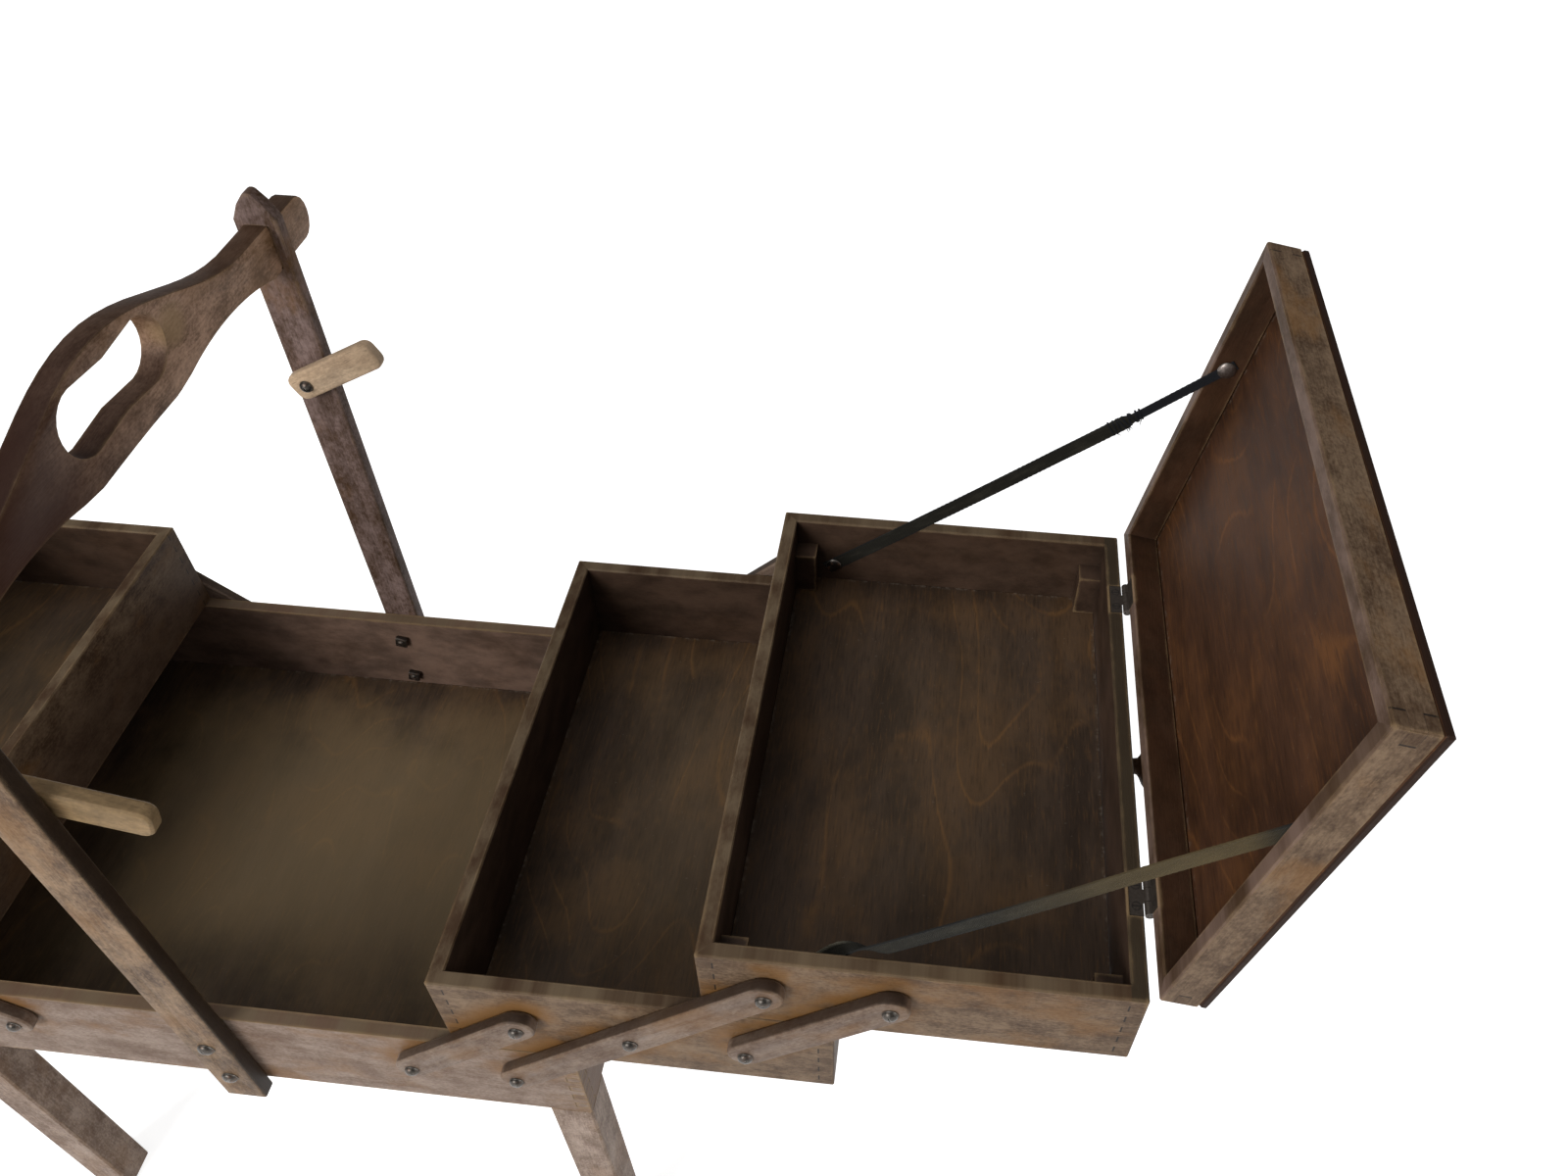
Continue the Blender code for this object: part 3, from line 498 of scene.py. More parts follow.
def ply_finish(name, tones, rubbed, origin, half, seed, turn=(0.0, 0.0, 0.0), shift=(0.0, 0.0, 0.0), lift=0.5):
    """Rotary-cut plywood with peaked figure, paler in the middle, partly from rubbing and partly as painted light,
    and dusty at the walls.
    """
    fin = Finish(name)
    spot = fin.vec("SUBTRACT", fin.local(origin, turn), shift)
    x, y, _ = fin.split(spot)
    v = fin.vec("ADD", spot, (seed * 0.91, seed * 1.73, 0.0))
    fine = fin.noise(v, (760.0, 70.0, 90.0), 3.0, 0.6)
    broad = fin.noise(v, (48.0, 9.0, 9.0), 4.0, 0.62)
    cloud = fin.noise(v, (17.0, 13.0, 12.0), 5.0, 0.62)
    sway = fin.noise(v, (8.0, 2.4, 1.0), 2.0, 0.4)
    sway = fin.plus(fine, 0.008, sway)
    rings = fin.math("PINGPONG", fin.times(sway, 20.0), 0.5)
    line = fin.less(1.0, fin.step(rings, 0.0, 0.070))
    line = fin.times(line, fin.step(cloud, 0.42, 0.62))
    tone = fin.mix(fin.step(broad, 0.32, 0.68), toned(tones[0], 0.75), toned(tones[0], 1.40))
    tone = fin.over(tone, tones[1], fin.step(cloud, 0.42, 0.66), 0.30)
    tone = fin.over(tone, tones[1], line, 0.58)
    tone = fin.over(tone, tones[1], fin.step(fine, 0.52, 0.70), 0.24)
    tone = fin.over(tone, toned(tones[0], 0.35), fin.step(fine, 0.48, 0.30), 0.40)
    from_x, from_y = from_walls(fin, x, y, half)
    near = fin.math("MINIMUM", from_x, from_y)
    # paler middle: partly rubbed wear, partly painted light falling past the walls; lift sets its share
    ragged = fin.plus(fin.less(cloud, 0.5), 0.14, near)
    middle = fin.times(fin.step(ragged, -0.015, 0.090), lift)
    tone = fin.over(tone, fin.mix(0.60, tone, rubbed), middle)
    crumbs = fin.noise(v, (240.0, 240.0, 240.0), 3.0, 0.7)
    dust = fin.times(fin.step(near, 0.0030, 0.0002), fin.step(crumbs, 0.50, 0.64))
    dust = fin.times(dust, fin.math("GREATER_THAN", near, 0.0))
    motes = fin.times(fin.step(fin.noise(v, (520.0, 520.0, 520.0), 1.0), 0.74, 0.80), 0.45)
    dust = fin.math("MAXIMUM", dust, motes)
    tone = fin.over(tone, DUST, dust, 0.30)
    tone = fin.over(tone, toned(tones[0], 0.45), fin.below(near, 0.0006 - WALL))
    fin.set("Base Color", tone)
    fin.set("Roughness", fin.plus(fine, 0.25, 0.48))
    fin.bump(fin.plus(fine, 0.6, fin.times(broad, 0.3)), 0.0003)
    return fin.mat


def iron_finish(name, look, rusty=0.35, tone=None):
    """Blackened iron, or metal of another tone, with rust blooms and rubbed high spots."""
    fin = Finish(name, 0.42, 0.9)
    metal = look.iron if tone is None else tone
    grit = fin.noise(fin.place, (900.0, 900.0, 900.0), 3.0, 0.65)
    bloom = fin.noise(fin.place, (260.0, 260.0, 260.0), 3.0, 0.6)
    tone = fin.mix(fin.step(grit, 0.35, 0.7), toned(metal, 0.6), metal)
    red = fin.times(fin.step(bloom, 0.48, 0.68), rusty)
    tone = fin.over(tone, look.rust, red)
    shine = fin.times(fin.step(fin.edges(0.0008), 0.15, 0.45), 0.6)
    tone = fin.over(tone, BRIGHT, shine)
    fin.set("Base Color", tone)
    fin.set("Metallic", fin.less(0.95, red))
    fin.set("Roughness", fin.plus(grit, 0.35, 0.20))
    fin.bump(grit, 0.0001)
    return fin.mat


def hinge_finish(name, look, screws):
    """Stained iron hinge leaf with the slotted heads of its flush screws marked by their seams."""
    fin = Finish(name, 0.42, 0.4)
    grit = fin.noise(fin.place, (900.0, 900.0, 900.0), 3.0, 0.65)
    tone = fin.mix(fin.step(grit, 0.35, 0.7), toned(look.iron, 0.6), look.iron)
    tone = fin.over(tone, GRIME, 0.6)
    marks = 0.0
    for spot in screws:
        span = fin.vec("SUBTRACT", fin.place, spot)
        _, across, _ = fin.split(span)
        reach = fin.vec("LENGTH", span, (0.0, 0.0, 0.0))
        ring = fin.math("COMPARE", reach, 0.0021, 0.00022)
        slot = fin.times(fin.below(fin.magnitude(across), 0.0003), fin.below(reach, 0.0020))
        marks = fin.math("MAXIMUM", fin.math("MAXIMUM", ring, slot), marks)
    tone = fin.over(tone, SLOT, marks, 0.85)
    fin.set("Base Color", tone)
    fin.set("Roughness", fin.plus(grit, 0.35, 0.25))
    fin.bump(fin.less(grit, marks), 0.0002)
    return fin.mat


def tape_finish(name, look, length, mend=None):
    """Plain woven tape with dust, faded in its outer half with a painted highlight on its fold and painted shade at
    its lid end; a mended one ends in black instead.
    """
    ground, thread = look.ground, look.thread
    fin = Finish(name, 0.92)
    fin.set("Sheen Weight", 0.04)
    u, w, _ = fin.split(fin.map)
    run = fin.times(u, length)
    over = fin.times(w, look.width)
    warp = fin.math("SINE", fin.times(over, 2 * math.pi / 0.0011))
    weft = fin.math("SINE", fin.times(run, 2 * math.pi / 0.0013))
    weave = fin.times(warp, weft)
    flat = fin.join(run, over, 0.0)
    dust = fin.noise(flat, (45.0, 160.0, 1.0), 4.0, 0.65)
    fluff = fin.noise(flat, (900.0, 2600.0, 1.0), 2.0, 0.6)
    tone = fin.mix(fin.step(weave, -0.7, 0.9), toned(ground, 0.55), ground)
    tone = fin.over(tone, toned(ground, 1.9), fin.step(dust, 0.46, 0.68), 0.55)
    tone = fin.over(tone, thread, fin.step(fluff, 0.55, 0.75), 0.35)
    selvedge = fin.step(fin.magnitude(fin.less(w, 0.5)), 0.40, 0.46)
    tone = fin.over(tone, thread, selvedge, 0.45)
    if mend is None:
        # painted highlight along the edges of the fold near the tray tack
        painted_fold_highlight = fin.step(fin.magnitude(fin.less(u, 0.15)), 0.050, 0.020)
        painted_fold_highlight = fin.times(painted_fold_highlight, fin.step(fin.magnitude(fin.less(w, 0.5)), 0.30, 0.46))
        tone = fin.over(tone, toned(ground, 7.0), painted_fold_highlight, 0.7)
        # the faded colour stops short of the lid end, which is left dark as painted shade
        faded = fin.times(fin.step(u, 0.42, 0.84), fin.step(u, 0.96, 0.88))
        faded = fin.math("MULTIPLY", faded, fin.plus(dust, 0.9, 0.40), clamp=True)
        tone = fin.over(tone, look.faded, faded, 0.85)
    else:
        tone = fin.over(tone, thread, fin.step(u, mend - 0.004, mend + 0.004))
    fin.set("Base Color", tone)
    fin.bump(fin.plus(fluff, 0.5, fin.times(weave, 0.5)), 0.0003, 0.8)
    return fin.mat


# Modelling helpers


def alone(obj=None):
    """Leave edit mode, deselect everything and pick one object."""
    if bpy.context.object is not None and bpy.context.object.mode != "OBJECT":
        bpy.ops.object.mode_set(mode="OBJECT")
    bpy.ops.object.select_all(action="DESELECT")
    if obj is not None:
        obj.select_set(True)
        bpy.context.view_layer.objects.active = obj
    return obj


def edit_all():
    """Enter edit mode with everything selected."""
    bpy.ops.object.mode_set(mode="EDIT")
    bpy.ops.mesh.select_mode(type="FACE")
    bpy.ops.mesh.select_all(action="SELECT")


def settle(obj):
    """Put the object's place, turn and size into its mesh."""
    alone(obj)
    bpy.ops.object.transform_apply(location=True, rotation=True, scale=True)
    return obj


def paint(obj, mat):
    """Give a piece or a frame node its only material."""
    obj.data.materials.clear()
    obj.data.materials.append(mat)


def smooth(obj, degrees):
    """Shade smooth across shallow edges."""
    alone(obj)
    bpy.ops.object.shade_smooth_by_angle(angle=math.radians(degrees))


def apply_all(obj):
    """Apply every modifier in order."""
    alone(obj)
    for mod in list(obj.modifiers):
        bpy.ops.object.modifier_apply(modifier=mod.name)


def drop(*objects):
    """Remove patterns and tools that are no longer needed."""
    for obj in objects:
        bpy.data.objects.remove(obj, do_unlink=True)


def carve(piece, tool):
    """Cut a tool's shape out of a piece."""
    mod = piece.modifiers.new("cut", "BOOLEAN")
    mod.operation = "DIFFERENCE"
    mod.solver = "EXACT"
    mod.object = tool
    apply_all(piece)
    drop(tool)


def domed_head(name, radius, height, slot):
    """Round screw head with a straight slot, standing on the XY plane."""
    alone()
    bpy.ops.mesh.primitive_uv_sphere_add(segments=24, ring_count=12, radius=radius)
    head = bpy.context.object
    head.name = name
    edit_all()
    bpy.ops.mesh.bisect(plane_co=(0.0, 0.0, 0.0), plane_no=(0.0, 0.0, 1.0), use_fill=True, clear_inner=True)
    bpy.ops.mesh.select_all(action="SELECT")
    bpy.ops.transform.resize(value=(1.0, 1.0, height / radius), center_override=(0.0, 0.0, 0.0))
    bpy.ops.mesh.normals_make_consistent(inside=False)
    alone()
    if slot > 0.0:
        bpy.ops.mesh.primitive_cube_add(size=1.0, location=(0.0, 0.0, height))
        bar = bpy.context.object
        bar.scale = (3.0 * radius, slot, slot * 1.5)
        carve(head, settle(bar))
    smooth(head, 35.0)
    return head


def copies(pattern, name, spots):
    """Copy a fitting to each spot, given as place, outward direction and spin, and join the copies."""
    made = []
    for place, out, spin in spots:
        twin = bpy.data.objects.new(name, pattern.data.copy())
        bpy.context.scene.collection.objects.link(twin)
        turn = Vector(out).to_track_quat("Z", "Y").to_matrix().to_4x4()
        twin.matrix_world = Matrix.Translation(place) @ turn @ Matrix.Rotation(spin, 4, "Z")
        settle(twin)
        made.append(twin)
    alone(made[0])
    for twin in made[1:]:
        twin.select_set(True)
    if len(made) > 1:
        bpy.ops.object.join()
    made[0].name = name
    return made[0]


def waist_cutters():
    """Round cutters for the two hollows in the handle's lower edge, and blocks that run them out to the hand hole."""
    low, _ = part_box("handle_board")
    radius, middle, rise = 0.177, 0.088, 0.0085
    block, inner, lift, slope = 0.030, 0.0443, 0.0034, math.radians(7.5)
    cutters = []
    for _, out in ENDS:
        alone()
        bpy.ops.mesh.primitive_cylinder_add(
            vertices=256, radius=radius, depth=0.040, location=(0.0, out * middle, low.z + rise - radius),
            rotation=(0.0, math.pi / 2, 0.0))
        cutters.append(settle(bpy.context.object))
        alone()
        bpy.ops.mesh.primitive_cube_add(
            size=block, location=(0.0, out * inner, low.z + lift - block / 2), rotation=(out * slope, 0.0, 0.0))
        cutters.append(settle(bpy.context.object))
    return cutters


def softened(node, name, width, cutters=()):
    """A copy of a frame piece with merged faces, cut where needed, and rounded, smoothly shaded edges."""
    piece = bpy.data.objects.new(name, frame["nodes"][node].data.copy())
    bpy.context.scene.collection.objects.link(piece)
    alone(piece)
    bpy.ops.mesh.customdata_custom_splitnormals_clear()
    edit_all()
    bpy.ops.mesh.remove_doubles(threshold=0.00001)
    bpy.ops.mesh.dissolve_limited(angle_limit=math.radians(1.0))
    for cutter in cutters:
        carve(piece, cutter)
    alone(piece)
    mod = piece.modifiers.new("rounding", "BEVEL")
    mod.limit_method = "ANGLE"
    mod.angle_limit = math.radians(38.0)
    mod.width = width
    mod.segments = 2
    apply_all(piece)
    smooth(piece, 52.0)
    return piece


def turned(name, profile, segments):
    """Turned body round Z from stations of radius and height, pulled up ring by ring."""
    alone()
    radius, level = profile[0]
    bpy.ops.mesh.primitive_circle_add(vertices=segments, radius=radius, fill_type="NGON", location=(0.0, 0.0, level))
    body = bpy.context.object
    body.name = name
    settle(body)
    edit_all()
    for (r0, z0), (r1, z1) in zip(profile, profile[1:]):
        bpy.ops.mesh.extrude_region_move(TRANSFORM_OT_translate={"value": (0.0, 0.0, z1 - z0)})
        bpy.ops.transform.resize(value=(r1 / r0, r1 / r0, 1.0), center_override=(0.0, 0.0, z1))
    bpy.ops.mesh.select_all(action="SELECT")
    bpy.ops.mesh.normals_make_consistent(inside=False)
    alone(body)
    smooth(body, 50.0)
    return body


def body_of(node):
    """The moving body that a frame node belongs to."""
    return frame["nodes"][node]["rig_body"]


# Pieces


class SEWBOX_OT_base(bpy.types.Operator):
    """Finish the comb-jointed base walls, the base floor and the four legs"""
    bl_idname = "sewbox.base"
    bl_label = "Base And Legs"

    def execute(self, context):
        look = context.scene.sewing_box.wood
        origin = (0.0, 0.0, BASE_LOW)
        half = (HALF_W, HALF_D)
        for k, tag in enumerate(("front", "back", "left", "right")):
            mat = wall_finish("stain_base_" + tag, look, (look.base_dark, look.base_pale), look.base_inside, origin,
                              half, BASE_RIM - BASE_LOW, 13, 3.0 + k, arm_lines("right") + arm_lines("left"))
            paint(frame["nodes"]["base_%s_wall" % tag], mat)
        inner = (HALF_W - WALL, HALF_D - WALL)
        floor = ply_finish("ply_base", (look.ply_dark, look.ply_light), look.ply_rubbed, origin, inner, 2.0,
                           lift=0.95)
        paint(frame["nodes"]["base_floor"], floor)
        for k, tag in enumerate(("fl", "fr", "bl", "br")):
            low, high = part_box("leg_" + tag)
            mat = board_finish("stain_leg_" + tag, look, (look.base_dark, toned(look.base_pale, 1.30)),
                               (low + high) / 2, (0.0, math.pi / 2, 0.0), 11.0 + k, 0.3)
            paint(frame["nodes"]["leg_" + tag], mat)
        return {"FINISHED"}


class SEWBOX_OT_handle(bpy.types.Operator):
    """Round and finish the posts, the handle board and the turn buttons"""
    bl_idname = "sewbox.handle"
    bl_label = "Posts And Handle"

    def execute(self, context):
        look = context.scene.sewing_box.wood
        for k, tag in enumerate(("front", "back")):
            post = softened("post_" + tag, "worn_post_" + tag, 0.0008)
            # the sideways faces of the front post get painted shade
            mat = board_finish("stain_post_" + tag, look, (look.tray_dark, getattr(look, "post_" + tag)),
                               (0.0, 0.0, BASE_LOW), (0.0, math.pi / 2, 0.0), 21.0 + k,
                               shade_axis=(1.0, 0.0, 0.0) if tag == "front" else None)
            paint(post, mat)
            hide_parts("post_" + tag)
            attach(post, "base")
            node = "turn_button_" + tag
            low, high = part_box(node)
            slant = 14.0 if tag == "front" else -28.0
            pale = getattr(look, "button_" + tag)
            button = softened(node, "worn_button_" + tag, 0.0008)
            mat = board_finish("stain_button_" + tag, look, (toned(pale, 0.5), pale), (low + high) / 2,
                               (0.0, math.radians(slant), 0.0), 31.0 + k, 0.25, 0.8)
            paint(button, mat)
            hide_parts(node)
            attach(button, body_of(node))
        grip = softened("handle_board", "worn_handle", 0.0012, waist_cutters())
        low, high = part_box("handle_board")
        bare_spot = (high.x, 0.050, low.z + 0.55 * (high.z - low.z))
        tones = (toned(look.tray_dark, 2.0), look.handle)
        mat = board_finish("stain_handle", look, tones, (0.0, 0.0, 0.0), (0.0, 0.0, math.pi / 2), 27.0, 0.45, 0.35,
                           grip=(look.grip, bare_spot))
        paint(grip, mat)
        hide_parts("handle_board")
        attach(grip, "base")
        return {"FINISHED"}


class SEWBOX_OT_trays(bpy.types.Operator):
    """Finish the middle and top trays and their floors"""
    bl_idname = "sewbox.trays"
    bl_label = "Trays"

    def execute(self, context):
        look = context.scene.sewing_box.wood
        for k, (side, _) in enumerate(SIDES):
            for m, (tier, rows) in enumerate((("mid", 13), ("top", 11))):
                low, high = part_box("%s_%s_frame" % (side, tier))
                origin = ((low.x + high.x) / 2, 0.0, low.z)
                half = ((high.x - low.x) / 2, HALF_D)
                seed = 41.0 + 5 * k + 2 * m
                mat = wall_finish("stain_%s_%s" % (side, tier), look, (look.tray_dark, look.tray_pale), look.inside,
                                  origin, half, high.z - low.z, rows, seed, arm_lines(side))
                paint(frame["nodes"]["%s_%s_frame" % (side, tier)], mat)
                inner = (half[0] - WALL, HALF_D - WALL)
                floor = ply_finish("ply_%s_%s" % (side, tier), (look.ply_dark, look.ply_light), look.ply_rubbed,
                                   origin, inner, seed + 0.7, lift=0.34 if tier == "mid" else 0.14)
                paint(frame["nodes"]["%s_%s_floor" % (side, tier)], floor)
        return {"FINISHED"}


class SEWBOX_OT_lids(bpy.types.Operator):
    """Finish the two hinged lids"""
    bl_idname = "sewbox.lids"
    bl_label = "Lids"

    def execute(self, context):
        look = context.scene.sewing_box.wood
        for k, (side, sign) in enumerate(SIDES):
            axis = JOINT["%s_lid_hinge" % side]["pos_m"]
            turn = (0.0, sign * TILT, 0.0)
            low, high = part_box("%s_top_frame" % side)
            shift = ((low.x + high.x) / 2 - axis[0], 0.0, LID_GAP)
            origin = (axis[0], 0.0, axis[2])
            half = ((high.x - low.x) / 2, HALF_D)
            tones = (look.tray_dark, toned(look.tray_pale, 1.02))
            deep = toned(look.lid_dark, 0.8)
            mat = wall_finish("stain_%s_lid" % side, look, tones, deep, origin, half, LID_DEEP, 3, 61.0 + 3 * k,
                              turn=turn, shift=shift, rim_up=False, rim=look.lid_rim)
            paint(frame["nodes"]["%s_lid_frame" % side], mat)
            inner = (half[0] - WALL, half[1] - WALL)
            panel = ply_finish("ply_%s_lid" % side, (look.lid_dark, look.lid_light), look.lid_light, origin, inner,
                               64.5 + 3 * k, turn, shift, 0.10)
            paint(frame["nodes"]["%s_lid_panel" % side], panel)
        return {"FINISHED"}


class SEWBOX_OT_arms(bpy.types.Operator):
    """Round and finish the twelve cantilever arms"""
    bl_idname = "sewbox.arms"
    bl_label = "Cantilever Arms"

    def execute(self, context):
        look = context.scene.sewing_box.wood
        count = 0
        for side, _ in SIDES:
            step = pivot(side + "_mid_pivot") - pivot(side + "_fold")
            slope = -math.atan2(step.y, step.x)
            for kind in ("long", "lower", "upper"):
                for tag, _ in ENDS:
                    node = "%s_%s_arm_%s" % (side, kind, tag)
                    low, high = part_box(node)
                    arm = softened(node, "worn_" + node, 0.0006)
                    # the upward and downward faces of the arms get painted shade
                    mat = board_finish("stain_" + node, look, (look.arm_dark, look.arm_pale), (low + high) / 2,
                                       (0.0, slope, 0.0), 71.0 + 1.7 * count, 0.4, 0.28, (0.0, 0.0, 1.0))
                    paint(arm, mat)
                    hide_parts(node)
                    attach(arm, body_of(node))
                    count += 1
        return {"FINISHED"}


class SEWBOX_OT_screws(bpy.types.Operator):
    """Model the slotted round heads of the pivot screws and button screws"""
    bl_idname = "sewbox.screws"
    bl_label = "Pivot Screws"

    def execute(self, context):
        look = context.scene.sewing_box.iron
        mat = iron_finish("iron_screws", look)
        head = domed_head("screw_pattern", look.head_r, look.head_h, 0.0007)
        seat = ARM_FACE + RUN_GAP
        groups = {"base": []}
        spin = 0.3
        for side, _ in SIDES:
            (long_foot, long_tip), (low_foot, low_tip), (up_foot, up_tip) = arm_lines(side)
            carried = {
                "base": (long_foot, low_foot),
                side + "_mid_tray": (pivot(side + "_mid_pivot"), low_tip, up_foot),
                side + "_top_tray": (long_tip, up_tip),
            }
            for body, points in carried.items():
                spots = groups.setdefault(body, [])
                for point in points:
                    for _, out in ENDS:
                        spin += 1.1
                        spots.append(((point.x, out * seat, point.y), (0.0, out, 0.0), spin))
        for tag, out in ENDS:
            pos = JOINT[tag + "_button_turn"]["pos_m"]
            low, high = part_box("turn_button_" + tag)
            face = low.y if out > 0 else high.y
            spin += 1.1
            groups["base"].append(((pos[0], face - out * RUN_GAP, pos[2]), (0.0, -out, 0.0), spin))
        for body, spots in groups.items():
            screws = copies(head, "screws_" + body, spots)
            paint(screws, mat)
            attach(screws, body)
        drop(head)
        return {"FINISHED"}


class SEWBOX_OT_bolts(bpy.types.Operator):
    """Model the post bolts with round heads outside and square nuts inside"""
    bl_idname = "sewbox.bolts"
    bl_label = "Post Bolts"

    def execute(self, context):
        look = context.scene.sewing_box.iron
        mat = iron_finish("iron_bolts", look, 0.6)
        head = domed_head("bolt_pattern", look.bolt_r, look.head_h, 0.0009)
        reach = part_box("bolt_back_low")[1].y - BOLT_HEAD - (HALF_D - WALL) + BOLT_PAST
        shank = turned("shank_pattern", [(0.0016, -reach), (0.0019, 0.0004 - reach), (0.0019, 0.0)], 16)
        alone()
        bpy.ops.mesh.primitive_cube_add(size=1.0)
        nut = bpy.context.object
        nut.scale = NUT
        settle(nut)
        mod = nut.modifiers.new("corners", "BEVEL")
        mod.width = 0.0007
        mod.segments = 2
        apply_all(nut)
        smooth(nut, 35.0)
        spin = 0.2
        for tag, out in ENDS:
            for level in ("low", "high"):
                node = "bolt_%s_%s" % (tag, level)
                low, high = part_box(node)
                centre = (low + high) / 2
                outer = high.y if out > 0 else low.y
                seat = outer - out * BOLT_HEAD
                inner = out * (HALF_D - WALL - 0.0022)
                spin += 0.9
                face = copies(head, "worn_" + node, [((centre.x, seat, centre.z), (0.0, out, 0.0), spin)])
                rod = copies(shank, "rod", [((centre.x, seat, centre.z), (0.0, out, 0.0), 0.0)])
                square = copies(nut, "nut", [((centre.x, inner, centre.z), (0.0, out, 0.0), spin * 1.7)])
                alone(face)
                rod.select_set(True)
                square.select_set(True)
                bpy.ops.object.join()
                paint(face, mat)
                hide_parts(node)
                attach(face, "base")
        drop(head, shank, nut)
        return {"FINISHED"}


class SEWBOX_OT_hinges(bpy.types.Operator):
    """Finish the butt hinges and mark their flush screws"""
    bl_idname = "sewbox.hinges"
    bl_label = "Hinges"

    def execute(self, context):
        look = context.scene.sewing_box.iron
        for side, sign in SIDES:
            axis = Vector(JOINT["%s_lid_hinge" % side]["pos_m"])
            for tag, _ in ENDS:
                low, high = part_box("%s_hinge_%s_tray" % (side, tag))
                middle = (low.y + high.y) / 2
                for leaf in ("tray", "lid"):
                    node = "%s_hinge_%s_%s" % (side, tag, leaf)
                    flat = Vector((-sign * LEAF_SCREW_X, 0.0, -0.0002 if leaf == "tray" else 0.0002))
                    if leaf == "lid":
                        flat = Matrix.Rotation(sign * TILT, 3, "Y") @ flat
                    screws = []
                    for shift in (-LEAF_SCREW_Y, LEAF_SCREW_Y):
                        screws.append((axis.x + flat.x, middle + shift, axis.z + flat.z))
                    paint(frame["nodes"][node], hinge_finish("iron_" + node, look, screws))
        return {"FINISHED"}


class SEWBOX_OT_knobs(bpy.types.Operator):
    """Turn the two knobs on the end walls of the top trays"""
    bl_idname = "sewbox.knobs"
    bl_label = "Turned Knobs"

    def execute(self, context):
        look = context.scene.sewing_box.wood
        for k, (side, sign) in enumerate(SIDES):
            low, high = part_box(side + "_knob")
            long = high.x - low.x
            big = (high.z - low.z) / 2
            stations = [
                (0.43, 0.00), (0.44, 0.05), (0.37, 0.16), (0.34, 0.28), (0.37, 0.38), (0.52, 0.45), (0.78, 0.53),
                (0.93, 0.60), (1.00, 0.69), (0.97, 0.79), (0.86, 0.88), (0.66, 0.95), (0.40, 0.99), (0.10, 1.00),
            ]
            body = turned("knob_pattern", [(r * big, z * long) for r, z in stations], 40)
            root = low.x if sign > 0 else high.x
            knob = copies(body, "turned_%s_knob" % side, [((root, 0.0, (low.z + high.z) / 2), (sign, 0.0, 0.0), 0.0)])
            drop(body)
            mat = board_finish("stain_%s_knob" % side, look, (look.tray_dark, look.inside), (low + high) / 2,
                               (0.0, 0.0, 0.0), 91.0 + k, 0.3, 0.4)
            paint(knob, mat)
            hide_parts(side + "_knob")
            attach(knob, side + "_top_tray")
        return {"FINISHED"}


class SEWBOX_OT_tapes(bpy.types.Operator):
    """Weave the four stay tapes, twist the near one and mend the far one"""
    bl_idname = "sewbox.tapes"
    bl_label = "Stay Tapes"

    def execute(self, context):
        look = context.scene.sewing_box.tape
        for k, (side, sign) in enumerate(SIDES):
            start, end = tape_ends(side, sign, look)
            for tag, out in ENDS:
                node = "%s_tape_%s" % (side, tag)
                twisted = tag == "front"
                mended = tag == "back"
                tape = weave_tape("woven_" + node, start, end, out, look, twisted, mended, 7 + k)
                run = (end - start).length + 2 * TAPE_LAP * look.width
                paint(tape, tape_finish("weave_" + node, look, run, BLACK_AT if mended else None))
                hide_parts(node)
                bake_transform(tape)
        return {"FINISHED"}


def tape_ends(side, sign, look):
    """Tray tack and lid tack of one side, as x and z."""
    axis = JOINT["%s_lid_hinge" % side]["pos_m"]
    low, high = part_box("%s_top_frame" % side)
    inner = low.x if sign > 0 else high.x
    outer = high.x if sign > 0 else low.x
    start = Vector((inner + sign * look.tray_in, low.z + look.tray_up))
    arm = Vector((outer - sign * look.lid_in - axis[0], 0.0, look.lid_up + LID_GAP))
    arm = Matrix.Rotation(sign * TILT, 3, "Y") @ arm
    return start, Vector((axis[0] + arm.x, axis[2] + arm.z))


def weave_tape(name, start, end, out, look, twisted, mended, seed):
    """A flat tape from tack to tack along the inner face of a wall."""
    alone()
    bpy.ops.mesh.primitive_grid_add(x_subdivisions=TAPE_RUN, y_subdivisions=TAPE_ROWS, size=1.0, calc_uvs=True)
    tape = bpy.context.object
    tape.name = name
    co = np.zeros(len(tape.data.vertices) * 3)
    tape.data.vertices.foreach_get("co", co)
    co = co.reshape(-1, 3)
    rng = np.random.default_rng(seed)
    line = end - start
    length = line.length
    unit = line / length
    cross = Vector((-unit.y, unit.x))
    lap = TAPE_LAP * look.width
    s = (co[:, 0] + 0.5) * (length + 2 * lap) - lap
    t = s / length
    wide = look.width * co[:, 1]
    if mended:
        slim = np.clip((t - MEND_AT) / 0.02, 0.0, 1.0)
        wide = wide * (1.0 - 0.38 * slim * slim * (3.0 - 2.0 * slim))
    wide = wide + 0.00012 * np.sin(s * 2100.0) * np.sign(co[:, 1]) * (np.abs(co[:, 1]) > 0.45)
    roll = np.zeros_like(t)
    if twisted:
        q = np.clip((t - 0.07) / 0.20, 0.0, 1.0)
        roll = math.pi * q * q * (3.0 - 2.0 * q)
    sag = -TAPE_SAG * np.sin(np.clip(t, 0.0, 1.0) * math.pi)
    sway = 0.0007 * np.sin(t * 9.0 + seed) * np.sin(np.clip(t, 0.0, 1.0) * math.pi)
    face = HALF_D - WALL - TAPE_GAP - look.thick / 2
    inward = np.abs(np.sin(roll)) * (look.width / 2 + 0.0004) + np.clip(sway, 0.0, 1.0)
    side = np.cos(roll) * wide
    depth = np.sin(roll) * wide + inward
    x = start.x + unit.x * s + cross.x * side
    z = start.y + unit.y * s + cross.y * side + sag
    y = out * (face - depth)
    tape.data.vertices.foreach_set("co", np.column_stack((x, y, z)).ravel())
    tape.data.update()
    mod = tape.modifiers.new("thickness", "SOLIDIFY")
    mod.thickness = look.thick
    mod.offset = 0.0
    apply_all(tape)
    if mended:
        mend_tape(tape, start, end, out, face, look, rng)
    alone(tape)
    edit_all()
    bpy.ops.mesh.normals_make_consistent(inside=False)
    alone(tape)
    smooth(tape, 60.0)
    return tape


